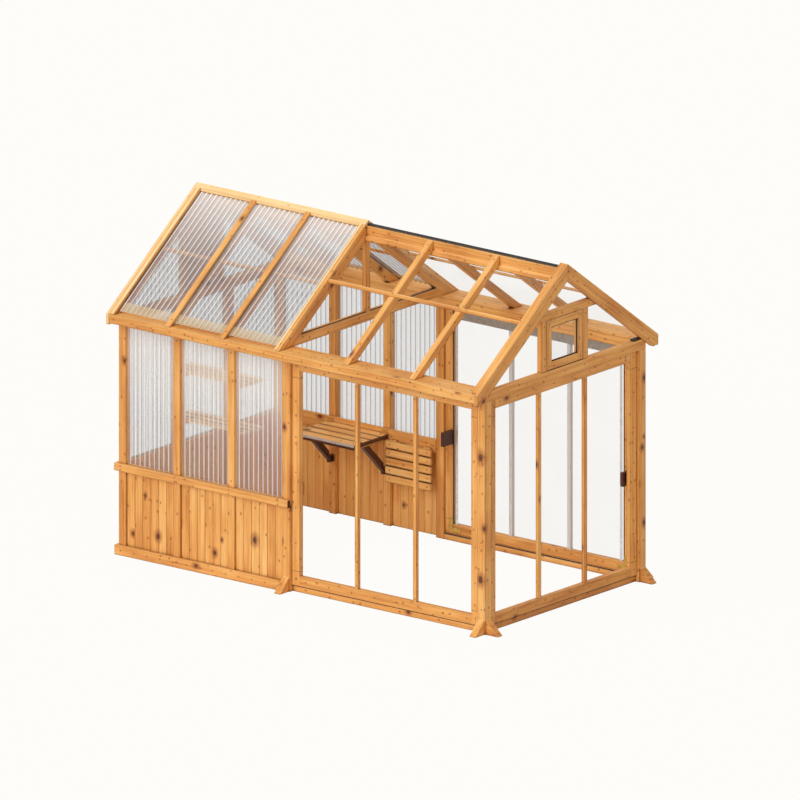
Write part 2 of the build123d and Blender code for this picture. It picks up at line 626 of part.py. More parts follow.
def left_gable():
    """Louvred vent in the middle of the left gable, with corrugated sheets beside it."""
    made = defaultdict(list)
    drop = ROOM_RAFTER_DROP
    jamb_y = (VENT_W / 2, VENT_W / 2 + VENT_JAMB_W)
    x = span(ROOM_X, VENT_JAMB_D)
    low = EAVE_BOARD_LOW
    for side in SIDES:
        outline = [(jamb_y[0], low), (jamb_y[1], low)]
        outline += [(jamb_y[1], roof_z(jamb_y[1], drop)), (jamb_y[0], roof_z(jamb_y[0], drop))]
        made["gable_vent"].append(prism_x([(side * a, b) for a, b in outline], x))
        outline = [(jamb_y[1], low), (PLATE_Y, low), (PLATE_Y, roof_z(PLATE_Y, drop))]
        outline += [(jamb_y[1], roof_z(jamb_y[1], drop))]
        field = prism_x([(side * a, b) for a, b in outline], x)
        place = (ROOM_X + WALL_SHEET_SETBACK, side * (jamb_y[1] + PLATE_Y) / 2)
        sheet = upright_sheet(place, PLATE_Y - jamb_y[1], (low, roof_z(jamb_y[1], drop)), 90)
        made["gable_sheets"].append(sheet & field)
    head = span(VENT_TOP, VENT_HEAD_H)
    made["gable_vent"].append(bar(x, (-jamb_y[0], jamb_y[0]), head))
    outline = [(-jamb_y[0], head[1]), (jamb_y[0], head[1]), (jamb_y[0], roof_z(jamb_y[0], drop))]
    outline += [(0, roof_z(0, drop)), (-jamb_y[0], roof_z(jamb_y[0], drop))]
    made["gable_vent"].append(prism_x(outline, centred(sum(x) / 2, VENT_PANEL_T)))
    rise = VENT_JAMB_D * math.tan(math.radians(LOUVRE_DEG))
    thick = LOUVRE_T / math.cos(math.radians(LOUVRE_DEG))
    for n in range(int((VENT_TOP - low - rise - thick) // LOUVRE_PITCH) + 1):
        z = low + n * LOUVRE_PITCH
        outline = [(x[0], z), (x[1], z + rise), (x[1], z + rise + thick), (x[0], z + thick)]
        made["gable_vent"].append(prism_y(outline, (-jamb_y[0], jamb_y[0])))
    return made


def shelf_slats(stretch, count, gap):
    """Low and high ends of slats with even gaps across a shelf."""
    width = (stretch[1] - stretch[0] - (count - 1) * gap) / count
    return [span(stretch[0] + n * (width + gap), width) for n in range(count)]


def bench():
    """Slatted bench that lifts on hinges along the ledger of the back wall."""
    made = defaultdict(list)
    made["back_ledger"] = [bar(ROOM_BAY_X, (LEDGER_Y, STUD_INNER_Y), span(LEDGER_LOW, LEDGER_H))]
    x = (ROOM_STUDS[0][0], ROOM_STUDS[1][1])
    back = LEDGER_Y - SHELF_WALL_GAP
    y = (back - BENCH_DEPTH, back)
    slat_z = (BENCH_TOP - SHELF_SLAT_T, BENCH_TOP)
    bearer_z = (slat_z[0] - BEARER_H, slat_z[0])
    made["bench_shelf"] = [bar(x, one, slat_z) for one in shelf_slats(y, BENCH_SLATS, BENCH_SLAT_GAP)]
    fixed, moving, pin = hinge()
    for stud in ROOM_STUDS:
        middle = sum(stud) / 2
        made["bench_shelf"].append(bar(centred(middle, BEARER_W), y, bearer_z))
        place = Pos(middle, LEDGER_Y - HINGE_R, BENCH_TOP + HINGE_R)
        made["fixed_hinge_leaves"].append(place * fixed)
        made["bench_hinge_leaves"].append(place * moving)
        made["hinge_pins"].append(place * pin)
    made["bench_edge_strip"] = [bar(x, (y[0] - EDGE_STRIP_T, y[0]), slat_z)]
    return made


def hanging_shelf():
    """Slatted shelf that hangs folded down below the ledger, beside the bench."""
    made = defaultdict(list)
    x = (ROOM_STUDS[1][1] + SHELF_SIDE_GAP, MID_LOW_X - SHELF_SIDE_GAP)
    axis_y = LEDGER_Y - HINGE_R
    bearer_y = (axis_y - HINGE_R - BEARER_H, axis_y - HINGE_R)
    slat_y = (bearer_y[0] - SHELF_SLAT_T, bearer_y[0])
    top = HANG_AXIS_Z + HINGE_R - SHELF_WALL_GAP
    z = (top - HANG_DEPTH, top)
    made["hanging_shelf"] = [bar(x, slat_y, one) for one in shelf_slats(z, HANG_SLATS, SHELF_SLAT_GAP)]
    fixed, moving, pin = hinge()
    for middle in (x[0] + BEARER_W, x[1] - BEARER_W):
        made["hanging_shelf"].append(bar(centred(middle, BEARER_W), bearer_y, z))
        place = Pos(middle, axis_y, HANG_AXIS_Z)
        made["fixed_hinge_leaves"].append(place * mirror(fixed, Plane.XY))
        made["hanging_hinge_leaves"].append(place * mirror(Rot(90, 0, 0) * moving, Plane.XZ))
        made["hinge_pins"].append(place * pin)
    return made


def braces():
    """Swinging struts under the bench, each on an upright pin in a bracket on its stud."""
    made = defaultdict(list)
    pivot_y = LEDGER_Y - BRACE_LEDGER_GAP - BRACE_T / 2
    top = BENCH_TOP - SHELF_SLAT_T - BEARER_H - RUN_GAP
    drop = BRACE_W * math.sqrt(2)
    root = BRACE_T / 2 + BRACE_ROOT_GAP
    knuckle = span(BRACE_LOW, BRACE_KNUCKLE_H)
    reach = top - BRACE_LOW
    outline = [(0, BRACE_LOW), (0, knuckle[1]), (root, knuckle[1]), (root, BRACE_LOW + drop + root)]
    outline += [(reach - drop, top), (reach, top)]
    ears = [(knuckle[0] - RUN_GAP - BRACE_EAR_T, knuckle[0] - RUN_GAP)]
    ears.append((knuckle[1] + RUN_GAP, knuckle[1] + RUN_GAP + BRACE_EAR_T))
    pin_z = (ears[0][0], ears[1][1])
    block_y = (STUD_INNER_Y - BRACE_BLOCK_D, STUD_INNER_Y)
    for stud, word in zip(ROOM_STUDS, ("left", "right")):
        middle = sum(stud) / 2
        x = centred(middle, BRACE_T)
        hub = Pos(middle, pivot_y, sum(knuckle) / 2) * Cylinder(BRACE_T / 2, BRACE_KNUCKLE_H)
        drill = Cylinder(BRACE_PIN_R + PIN_CLEARANCE, BRACE_KNUCKLE_H + BORE_OVERRUN)
        bore = Pos(middle, pivot_y, BRACE_LOW) * drill
        strut = prism_x([(pivot_y - a, b) for a, b in outline], x)
        made["bench_brace_" + word] = [strut + hub - bore]
        bracket = bar(x, block_y, pin_z)
        for z in ears:
            disc = Pos(middle, pivot_y, sum(z) / 2) * Cylinder(BRACE_T / 2, z[1] - z[0])
            bracket += disc + bar(x, (pivot_y, block_y[0]), z)
        made["brace_brackets"].append(bracket - bore)
        pin = Cylinder(BRACE_PIN_R, pin_z[1] - pin_z[0])
        made["hinge_pins"].append(Pos(middle, pivot_y, sum(pin_z) / 2) * pin)
    return made


def tier_shelves():
    """Two slatted shelves on bearers, inside the front wall."""
    made = defaultdict(list)
    middle = (ROOM_STUDS[0][0] + ROOM_STUDS[1][1]) / 2
    x = centred(middle, TIER_LENGTH)
    y = span(-STUD_INNER_Y, TIER_DEPTH)
    for height in TIER_HEIGHTS:
        slat_z = (height - TIER_SLAT_T, height)
        slats = shelf_slats(y, TIER_SLATS, SHELF_SLAT_GAP)
        made["tier_shelves"] += [bar(x, one, slat_z) for one in slats]
        bearer_z = (slat_z[0] - TIER_BEARER_H, slat_z[0])
        for stud in ROOM_STUDS:
            bearer_x = centred(sum(stud) / 2, TIER_BEARER_W)
            made["tier_bearers"].append(bar(bearer_x, y, bearer_z))
    return made


def back_blocks():
    """Dark blocks on the stiles of the back frame."""
    inner = WALL_Y - FRAME_SETBACK - FRAME_T
    edges = (FRAME_X[0] + FRAME_STILE_W - BLOCK_W, FRAME_X[1] - BLOCK_W)
    z = span(BLOCK_LOW, BLOCK_H)
    return {"back_blocks": [bar(span(x, BLOCK_W), (inner - BLOCK_REACH, inner), z) for x in edges]}


def greenhouse():
    """Every piece of the greenhouse as lists of solids by node name."""
    nodes = defaultdict(list)
    sections = (posts, knee_walls, wall_sheets, plates, room_roof, bay_roof, gables, bay_walls, feet, sash,
                left_gable, bench, hanging_shelf, braces, tier_shelves, back_blocks)
    for section in sections:
        for name, solids in section().items():
            nodes[name] += solids
    return nodes


os.makedirs("parts", exist_ok=True)
for node, pieces in greenhouse().items():
    export_step(Compound(label=node, children=list(pieces)), os.path.join("parts", node + ".step"))
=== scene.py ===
"""Looks of the timber greenhouse: finishes, fixings, small fittings, light and camera.

X runs along the greenhouse from the closed room to the open bay, Y from front to back and Z up.
Places of screws, trims and knots are in millimetres; the shaders and the studio are in metres.
"""

from __future__ import annotations

import json
import logging
import math
from dataclasses import dataclass, field, replace
from enum import Enum
from typing import Any, Sequence

import bmesh
import bpy
import numpy as np
from bpy.types import Material, Mesh, Node, NodeTree, Object
from mathutils import Color, Euler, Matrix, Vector
from mathutils.bvhtree import BVHTree

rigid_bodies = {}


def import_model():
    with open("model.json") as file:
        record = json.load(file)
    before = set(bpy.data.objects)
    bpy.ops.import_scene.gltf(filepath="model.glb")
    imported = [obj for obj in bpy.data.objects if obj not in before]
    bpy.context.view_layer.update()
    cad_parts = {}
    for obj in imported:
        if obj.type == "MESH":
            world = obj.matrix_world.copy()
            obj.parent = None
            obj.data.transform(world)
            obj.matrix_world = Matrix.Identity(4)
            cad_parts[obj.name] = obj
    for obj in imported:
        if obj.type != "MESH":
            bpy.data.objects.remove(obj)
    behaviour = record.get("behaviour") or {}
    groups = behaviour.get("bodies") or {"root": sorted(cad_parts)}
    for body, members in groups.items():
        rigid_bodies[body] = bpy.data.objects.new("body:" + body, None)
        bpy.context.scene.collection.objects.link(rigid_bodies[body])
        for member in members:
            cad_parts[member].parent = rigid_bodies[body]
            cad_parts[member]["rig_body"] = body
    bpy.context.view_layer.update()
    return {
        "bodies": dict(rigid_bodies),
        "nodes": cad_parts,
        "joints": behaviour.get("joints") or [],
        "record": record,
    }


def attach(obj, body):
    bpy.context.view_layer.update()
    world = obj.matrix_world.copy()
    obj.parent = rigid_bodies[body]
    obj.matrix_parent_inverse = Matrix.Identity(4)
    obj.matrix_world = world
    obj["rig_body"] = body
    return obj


LOG = logging.getLogger("greenhouse")
MM = 0.001
Colour = tuple[float, float, float, float]
Pair = tuple[float, float]
Point = tuple[float, float, float]
Row = tuple[float, ...]
Table = dict[Any, Any]

EAVE_Y_MM = 1135.0
EAVE_Z_MM = 1990.0
RIDGE_Z_MM = 2815.0
ROOF_RISE = (RIDGE_Z_MM - EAVE_Z_MM) / EAVE_Y_MM
ROOF_PITCH = math.atan(ROOF_RISE)
BEVEL_SEGMENTS = 2
ROUND_BEVEL = 0.5


def srgb(red: int, green: int, blue: int) -> Colour:
    """Turns a screen colour, from 0 to 255, into the linear colour that shaders take."""
    linear = Color((red / 255, green / 255, blue / 255)).from_srgb_to_scene_linear()
    return (linear.r, linear.g, linear.b, 1.0)


class Facing(Enum):
    """The way a surface that takes fixings looks."""

    FRONT = (0.0, -1.0, 0.0)
    BACK = (0.0, 1.0, 0.0)
    LEFT = (-1.0, 0.0, 0.0)
    RIGHT = (1.0, 0.0, 0.0)
    UP = (0.0, 0.0, 1.0)
    FRONT_SLOPE = (0.0, -math.sin(ROOF_PITCH), math.cos(ROOF_PITCH))
    BACK_SLOPE = (0.0, math.sin(ROOF_PITCH), math.cos(ROOF_PITCH))


class Value:
    """A node's output that takes part in an expression; each operator adds a Math node."""

    def __init__(self, graph: Graph, socket: Any) -> None:
        """Keeps the socket and the graph it belongs to."""
        self.graph = graph
        self.socket = socket

    def maths(self, operation: str, first: Any, second: Any = 0.0) -> Value:
        """Adds one Math node and returns its result."""
        return self.graph.node("ShaderNodeMath", {"operation": operation}, {0: first, 1: second})

    def __add__(self, other: Any) -> Value:
        """The sum."""
        return self.maths("ADD", self, other)

    __radd__ = __add__

    def __sub__(self, other: Any) -> Value:
        """The difference."""
        return self.maths("SUBTRACT", self, other)

    def __mul__(self, other: Any) -> Value:
        """The product."""
        return self.maths("MULTIPLY", self, other)

    __rmul__ = __mul__

    def __abs__(self) -> Value:
        """The size without its sign."""
        return self.maths("ABSOLUTE", self)

    def sine(self) -> Value:
        """The sine of the value in radians."""
        return self.maths("SINE", self)

    def above(self, limit: float) -> Value:
        """One where the value is over the limit, and zero elsewhere."""
        return self.maths("GREATER_THAN", self, limit)

    def most(self, other: Any) -> Value:
        """The larger of two values."""
        return self.maths("MAXIMUM", self, other)

    def swing(self, amount: float) -> Value:
        """A value from 0 to 1 as a swing round zero, of the amount from end to end."""
        return (self - 0.5) * amount

    def ease(self, start: float, end: float) -> Value:
        """Goes smoothly from 0 at start to 1 at end, whichever of them is the larger."""
        falls = start > end
        return self.graph.node("ShaderNodeMapRange", {"interpolation_type": "SMOOTHSTEP"}, {
            "Value": self, "From Min": min(start, end), "From Max": max(start, end),
            "To Min": float(falls), "To Max": float(not falls)})


class Graph:
    """A node tree of any kind, filled through one method."""

    def __init__(self, tree: NodeTree) -> None:
        """Clears the tree for its own nodes."""
        self.nodes, self.links = tree.nodes, tree.links
        self.nodes.clear()

    def fill(self, socket: Any, value: Any) -> None:
        """Links a node's input to an expression, or sets it to a number, vector, colour or word."""
        if isinstance(value, Value):
            self.links.new(value.socket, socket)
        else:
            socket.default_value = value

    def add(self, kind: str, settings: Table | None = None, sockets: Table | None = None) -> Node:
        """Adds a node of any kind.

        Args:
            kind: The node's type.
            settings: Its properties, and a ramp's "stops" as (place, colour) pairs.
            sockets: Values or links for its inputs, by name or number.

        Returns:
            The node.
        """
        made = self.nodes.new(kind)
        for name, setting in (settings or {}).items():
            if name != "stops":
                setattr(made, name, setting)
                continue
            ramp = made.color_ramp.elements
            for place, colour in setting[1:-1]:
                ramp.new(place).color = colour
            for end in (0, -1):
                ramp[end].position, ramp[end].color = setting[end]
        for key, value in (sockets or {}).items():
            self.fill(made.inputs[key], value)
        return made

    def node(self, kind: str, settings: Table | None = None, sockets: Table | None = None,
             out: int | str = 0) -> Value:
        """Adds a node, as add does, and returns one of its outputs for expressions."""
        return Value(self, self.add(kind, settings, sockets).outputs[out])

    def outputs(self, kind: str, *names: str) -> list[Value]:
        """Adds a node without settings and returns the outputs that are named."""
        made = self.add(kind)
        return [Value(self, made.outputs[name]) for name in names]


class Shader(Graph):
    """One material's node tree, with a Principled shader at its end."""

    def __init__(self, name: str) -> None:
        """Makes a material of this name."""
        self.material = bpy.data.materials.new(name)
        self.material.use_nodes = True
        super().__init__(self.material.node_tree)
        self.surface = self.add("ShaderNodeBsdfPrincipled")
        self.add("ShaderNodeOutputMaterial", None, {"Surface": Value(self, self.surface.outputs[0])})

    def vector(self, operation: str, first: Any, second: Any = None) -> Value:
        """Adds one Vector Math node.

        Args:
            operation: The node's operation.
            first: The first vector.
            second: The second vector, or the factor of a SCALE, where there is one.

        Returns:
            The result, which is a number for a dot product or a length.
        """
        sockets = {0: first}
        if second is not None:
            sockets["Scale" if operation == "SCALE" else 1] = second
        out = "Value" if operation in ("DOT_PRODUCT", "LENGTH") else "Vector"
        return self.node("ShaderNodeVectorMath", {"operation": operation}, sockets, out)

    def axis(self, place: Value, name: str) -> Value:
        """One coordinate of a vector, by its letter."""
        return self.node("ShaderNodeSeparateXYZ", None, {0: place}, name)

    def mix(self, factor: Any, first: Any, second: Any) -> Value:
        """Blends two colours by a factor."""
        return self.node("ShaderNodeMix", {"data_type": "RGBA"}, {0: factor, 6: first, 7: second}, 2)

    def noise(self, place: Value, scale: float = 1.0, detail: float = 2.0) -> Value:
        """Smooth noise from 0 to 1 over a vector."""
        return self.node("ShaderNodeTexNoise", None, {"Vector": place, "Scale": scale, "Detail": detail})

    def noted(self, name: str, out: str = "Fac") -> Value:
        """What the mesh notes under a name, as a number or a "Vector"."""
        return self.node("ShaderNodeAttribute", {"attribute_name": name}, out=out)

    def dress(self, **sockets: Any) -> None:
        """Fills the Principled shader's sockets, named with underscores for spaces."""
        for name, value in sockets.items():
            self.fill(self.surface.inputs[name.replace("_", " ")], value)

    def bump(self, height: Value, strength: float, depth: float) -> None:
        """Presses a height pattern into the surface's normal."""
        sockets = {"Height": height, "Strength": strength, "Distance": depth}
        self.dress(Normal=self.node("ShaderNodeBump", None, sockets))


@dataclass(frozen=True)
class Knot:
    """One large knot at its own place, in millimetres."""

    x: float
    y: float
    z: float
    radius: float


def mark(reach: Value, radius: float) -> tuple[Value, Value]:
    """A round mark and the wider halo about it, from the distance to its centre."""
    core, halo, halo_core = radius * 0.5, radius * 2.6, radius * 0.8
    return reach.ease(radius, core), reach.ease(halo, halo_core)


@dataclass(frozen=True)
class TimberFinish:
    """Sawn and oiled pine, or a stained darker board, with painted shade along its edges and in its
    corners and painted highlights along its upper edges.
    """

    name: str
    pale: Colour
    middle: Colour
    dark: Colour
    knot: Colour
    halo: Colour
    shade_and_seam: Colour
    board_contrast: float = 0.16
    knot_share: float = 0.22
    speck_share: float = 0.2
    edge_radius: float = 0.011
    edge_strength: float = 0.82
    painted_highlight_share: float = 1.0
    knots: tuple[Knot, ...] = ()
    joints_mm: Row = ()
    silver_y_mm: float = 0.0

    # Figure: cells to a metre across and along the grain, and how far each layer swings the tone.
    BOARD_SHIFT = (1.7, 2.9, 2.3)
    WANDER_SCALE, WANDER_SWING = 2.2, 0.6
    STREAK_ACROSS, STREAK_ALONG, STREAK_DETAIL, STREAK_SWING = 40.0, 1.6, 4.0, 0.8
    FINE_ACROSS, FINE_ALONG, FINE_SWING = 240.0, 9.0, 0.28
    RINGS_TO_A_METRE, RING_WANDER, RING_SWING = 38.0, 0.05, 0.045
    TONE_STOPS = (0.08, 0.5, 0.92)
    # Knots and specks: cells to a metre, and a mark's radius as a share of its cell.
    KNOT_CELLS, SPECK_CELLS = (4.4, 0.075), (17.0, 0.2)
    HALO_STRENGTH, SPECK_STRENGTH, HEART_STRENGTH = 0.66, 0.62, 0.88
    FRAY_SCALE, FRAY_ALONG, FRAY_ASIDE = 90.0, 0.012, 0.008
    SHIFT_ALONG, SHIFT_ASIDE = 11.0, 5.0
    LONG_KNOTS, TALL_KNOTS = 0.75, (1.0, 1.0, 0.7)
    # Painted shade along edges and in corners, painted highlights along upper edges, and dark lines at
    # joints.
    LINE_SAMPLES = 4
    EDGE_TURN, UPWARD = (0.99, 0.8), (0.2, 0.5)
    CORNER_REACH, CORNER_OPEN = 0.028, (0.72, 0.36)
    JOINT_WIDTH = (0.0032, 0.0012)
    SILVER = (0.74, 0.73, 0.72, 1.0)
    ROUGHNESS, ROUGH_SWING, GLOSS = 0.52, 0.18, 0.32
    STREAK_RELIEF, RELIEF_STRENGTH, RELIEF_DEPTH = 0.6, 0.22, 0.0012

    def spots(self, s: Shader, place: Value, cells: Pair, share: float) -> tuple[Value, Value]:
        """Scattered round marks on a face.

        Args:
            s: The shader.
            place: The place on the face, along and across the grain.
            cells: Cells to a metre, and a mark's radius as a share of its cell.
            share: Share of the cells that hold a mark.

        Returns:
            The marks and the halos about them.
        """
        sockets = {"Vector": place, "Scale": cells[0]}
        spread = s.add("ShaderNodeTexVoronoi", {"voronoi_dimensions": "2D"}, sockets)
        draw = s.node("ShaderNodeSeparateColor", None, {0: Value(s, spread.outputs["Color"])})
        chosen = draw.above(1 - share)
        heart, halo = mark(Value(s, spread.outputs["Distance"]), cells[1])
        return heart * chosen, halo * chosen

    def large_knots(self, s: Shader, place: Value, fray: Value) -> tuple[Value, Value]:
        """The finish's own knots.

        Args:
            s: The shader.
            place: Object coordinates.
            fray: A fine noise that frays the knots' edges.

        Returns:
            The knots' hearts and halos.
        """
        hearts = halos = fray * 0.0
        for knot in self.knots:
            radius = knot.radius * MM
            off = s.vector("SUBTRACT", place, tuple(Vector((knot.x, knot.y, knot.z)) * MM))
            reach = s.vector("LENGTH", s.vector("MULTIPLY", off, self.TALL_KNOTS))
            heart, halo = mark(reach + fray.swing(radius), radius)
            hearts, halos = hearts.most(heart), halos.most(halo)
        return hearts, halos

    def lines(self, s: Shader, place: Value) -> tuple[Value, Value]:
        """Painted shade along edges and in corners, dark lines at joints, and painted highlights along
        upper edges.

        Args:
            s: The shader.
            place: Object coordinates.

        Returns:
            The painted shade with the joints' dark lines, and the painted highlights, as one on a line
            and zero elsewhere.
        """
        samples = {"samples": self.LINE_SAMPLES}
        rounded = s.node("ShaderNodeBevel", samples, {"Radius": self.edge_radius})
        facing = s.node("ShaderNodeNewGeometry", out="Normal")
        edge = s.vector("DOT_PRODUCT", rounded, facing).ease(*self.EDGE_TURN)
        # Painted highlight on edges that turn upward, where light from above would catch them.
        pale = edge * s.axis(rounded, "Z").ease(*self.UPWARD) * self.painted_highlight_share
        # Painted shade along the other edges, and in corners from ambient occlusion.
        reach = {"Distance": self.CORNER_REACH}
        sky = s.node("ShaderNodeAmbientOcclusion", samples, reach, "AO")
        dark = (edge - pale).most(sky.ease(*self.CORNER_OPEN))
        height = s.axis(place, "Z")
        for joint in self.joints_mm:
            dark = dark.most(abs(height - joint * MM).ease(*self.JOINT_WIDTH))
        return dark, pale

    def make(self) -> Material:
        """Builds the material from the grain and tone noted on each face.

        Returns:
            The material.
        """
        s = Shader(self.name)
        place, normal = s.outputs("ShaderNodeTexCoord", "Object", "Normal")
        grain, tone = s.noted("grain", "Vector"), s.noted("tone")
        along = s.vector("DOT_PRODUCT", place, grain)
        flat = s.vector("SUBTRACT", place, s.vector("SCALE", grain, along))
        shift = s.vector("SCALE", self.BOARD_SHIFT, tone)

        def drawn_out(across: float, lengthwise: float) -> Value:
            """The place, with its own scales across and along the grain."""
            run = s.vector("SCALE", grain, along * lengthwise)
            return s.vector("ADD", s.vector("SCALE", flat, across), run)

        wander = s.noise(s.vector("ADD", s.vector("SCALE", place, self.WANDER_SCALE), shift))
        stretched = drawn_out(self.STREAK_ACROSS, self.STREAK_ALONG)
        streak = s.noise(s.vector("ADD", stretched, shift), detail=self.STREAK_DETAIL)
        fine = s.noise(drawn_out(self.FINE_ACROSS, self.FINE_ALONG))
        fray = s.noise(place, self.FRAY_SCALE)
        pith = s.vector("LENGTH", s.vector("ADD", flat, shift)) + wander * self.RING_WANDER
        rings = (pith * (self.RINGS_TO_A_METRE * 2 * math.pi)).sine()
        level = 0.5 + streak.swing(self.STREAK_SWING) + rings * self.RING_SWING
        level = level + fine.swing(self.FINE_SWING) + wander.swing(self.WANDER_SWING)
        level = level + tone.swing(self.board_contrast * 2)
        stops = list(zip(self.TONE_STOPS, (self.dark, self.middle, self.pale)))
        wood = s.node("ShaderNodeValToRGB", {"stops": stops}, {0: level})
        aside = s.vector("DOT_PRODUCT", place, s.vector("CROSS_PRODUCT", grain, normal))
        face = s.node("ShaderNodeCombineXYZ", None, {
            0: along * self.LONG_KNOTS + tone * self.SHIFT_ALONG + fray.swing(self.FRAY_ALONG),
            1: aside + tone * self.SHIFT_ASIDE + fine.swing(self.FRAY_ASIDE)})
        heart, halo = self.spots(s, face, self.KNOT_CELLS, self.knot_share)
        specks = self.spots(s, face, self.SPECK_CELLS, self.speck_share)[0]
        own_heart, own_halo = self.large_knots(s, place, fray)
        shade_and_joint_line, painted_highlight_line = self.lines(s, place)
        layers = [
            (halo.most(own_halo) * self.HALO_STRENGTH, self.halo),
            (specks * self.SPECK_STRENGTH, self.halo),
            (heart.most(own_heart) * self.HEART_STRENGTH, self.knot),
            # Painted highlights along upper edges, then painted shade along edges and in corners
            # together with the joints' dark lines.
            (painted_highlight_line * self.edge_strength, self.pale),
            (shade_and_joint_line * self.edge_strength, self.shade_and_seam)]
        if self.silver_y_mm:
            layers.append((s.axis(place, "Y").above(self.silver_y_mm * MM), self.SILVER))
        for share, colour in layers:
            wood = s.mix(share, wood, colour)
        s.dress(Base_Color=wood, Roughness=self.ROUGHNESS + streak.swing(self.ROUGH_SWING))
        s.dress(Specular_IOR_Level=self.GLOSS)
        relief = streak * self.STREAK_RELIEF + fine * (1 - self.STREAK_RELIEF)
        s.bump(relief, self.RELIEF_STRENGTH, self.RELIEF_DEPTH)
        return s.material


@dataclass(frozen=True)
class SheetFinish:
    """Clear plastic sheet, with painted highlights along its crests and painted shade along its troughs
    where it is corrugated.

    A bloom whitens the sheet between two heights, and a beige band runs below the foot's height.
    """

    name: str
    tint: Colour
    clear_alpha: float
    crest_alpha: float = 0.0
    trough_alpha: float = 0.0
    roughness: float = 0.1
    bloom_mm: Pair = (0.0, 0.0)
    bloom_alpha: float = 0.0
    foot_mm: float = 0.0

    SHINE, SHADE = (0.98, 0.98, 0.98, 1.0), (0.42, 0.43, 0.45, 1.0)
    FOOT, DUST = srgb(204, 184, 146), srgb(216, 216, 214)
    CREST, TROUGH = (0.84, 0.98), (0.2, 0.03)
    EDGE_BLEND, EDGE_ALPHA = 0.2, 0.06
    HAZE_SCALE, HAZE_ALPHA, HAZE_ROUGH = 3.0, 0.04, 0.08
    DUST_FROM, DUST_SHARE = (0.35, 0.8), 0.3
    BLOOM_SHARE, GLOSS = 0.6, 0.5
    FOOT_EASE_MM, FOOT_ALPHA, FOOT_SHARE = 4.0, 0.28, 0.85

    def make(self) -> Material:
        """Builds the material from the height noted on a corrugated sheet's points.

        Returns:
            The material.
        """
        s = Shader(self.name)
        place = s.node("ShaderNodeTexCoord", out="Object")
        crest = s.noted("crest")
        haze = s.noise(place, self.HAZE_SCALE)
        edge = s.node("ShaderNodeLayerWeight", None, {"Blend": self.EDGE_BLEND}, "Facing")
        crest_highlight, trough_shade = crest.ease(*self.CREST), crest.ease(*self.TROUGH)
        alpha = self.clear_alpha + edge * self.EDGE_ALPHA + haze.swing(self.HAZE_ALPHA)
        alpha = alpha + crest_highlight * self.crest_alpha + trough_shade * self.trough_alpha
        # Painted highlight in white along the crests and painted shade in grey along the troughs.
        colour = s.mix(crest_highlight, s.mix(trough_shade, self.tint, self.SHADE), self.SHINE)
        height = s.axis(place, "Z")
        if self.bloom_alpha:
            bloom = height.ease(self.bloom_mm[0] * MM, self.bloom_mm[1] * MM)
            alpha = alpha + bloom * self.bloom_alpha
            colour = s.mix(bloom * self.BLOOM_SHARE, colour, self.SHINE)
        if self.foot_mm:
            band = height.ease((self.foot_mm + self.FOOT_EASE_MM) * MM, self.foot_mm * MM)
            alpha = alpha + band * self.FOOT_ALPHA
            colour = s.mix(band * self.FOOT_SHARE, colour, self.FOOT)
        colour = s.mix(haze.ease(*self.DUST_FROM) * self.DUST_SHARE, colour, self.DUST)
        s.dress(Base_Color=colour, Alpha=alpha, Roughness=self.roughness + haze * self.HAZE_ROUGH)
        s.dress(Specular_IOR_Level=self.GLOSS)
        return s.material


@dataclass(frozen=True)
class MetalFinish:
    """Plain metal, rubber or woven mesh with a faint mottle."""

    name: str
    colour: Colour
    worn: Colour
    metallic: float
    roughness: float
    mottle_scale: float = 60.0

    MOTTLE_DETAIL, WORN_FROM, ROUGH_SWING = 4.0, (0.35, 0.75), 0.2
    RELIEF_STRENGTH, RELIEF_DEPTH = 0.12, 0.0005

    def make(self) -> Material:
        """Builds the material.

        Returns:
            The material.
        """
        s = Shader(self.name)
        place = s.node("ShaderNodeTexCoord", out="Object")
        mottle = s.noise(place, self.mottle_scale, self.MOTTLE_DETAIL)
        colour = s.mix(mottle.ease(*self.WORN_FROM), self.colour, self.worn)
        s.dress(Base_Color=colour, Metallic=self.metallic)
        s.dress(Roughness=self.roughness + mottle.swing(self.ROUGH_SWING))
        s.bump(mottle, self.RELIEF_STRENGTH, self.RELIEF_DEPTH)
        return s.material


PINE = TimberFinish(
    "honey_pine", srgb(252, 209, 140), srgb(234, 170, 93), srgb(188, 112, 50),
    srgb(80, 38, 26), srgb(146, 72, 34), srgb(92, 48, 20))
MULLION_PINE = replace(PINE, name="mullion_pine", silver_y_mm=900.0)
FRAME_PINE = replace(PINE, name="frame_pine", speck_share=0.3, joints_mm=(171.0, 1755.0))
POST_PINE = replace(PINE, name="post_pine", knots=(
    Knot(1754, -1007, 1444, 27), Knot(1754, -1007, 444, 27), Knot(1790, -1007, 867, 17),
    Knot(1800, 990, 1661, 19), Knot(1800, 990, 476, 19), Knot(1800, 985, 1180, 10)))
PINE_BOARDS = replace(PINE, name="pine_boards", board_contrast=0.13, knot_share=0.1, knots=(
    Knot(-1511, -992, 210, 22), Knot(-536, -992, 357, 25), Knot(-939, -992, 177, 18),
    Knot(-867, -992, 296, 11), Knot(-1640, -992, 520, 13)))
# Back boards, seen from inside the room: lighter, flatter tones, painted light that offsets the shade
# inside the room.
BACK_BOARDS = replace(
    PINE_BOARDS, name="back_boards", middle=srgb(240, 178, 100), dark=srgb(204, 128, 62),
    knot_share=0.0, speck_share=0.05, knots=(Knot(-613, 976, 188, 13),))
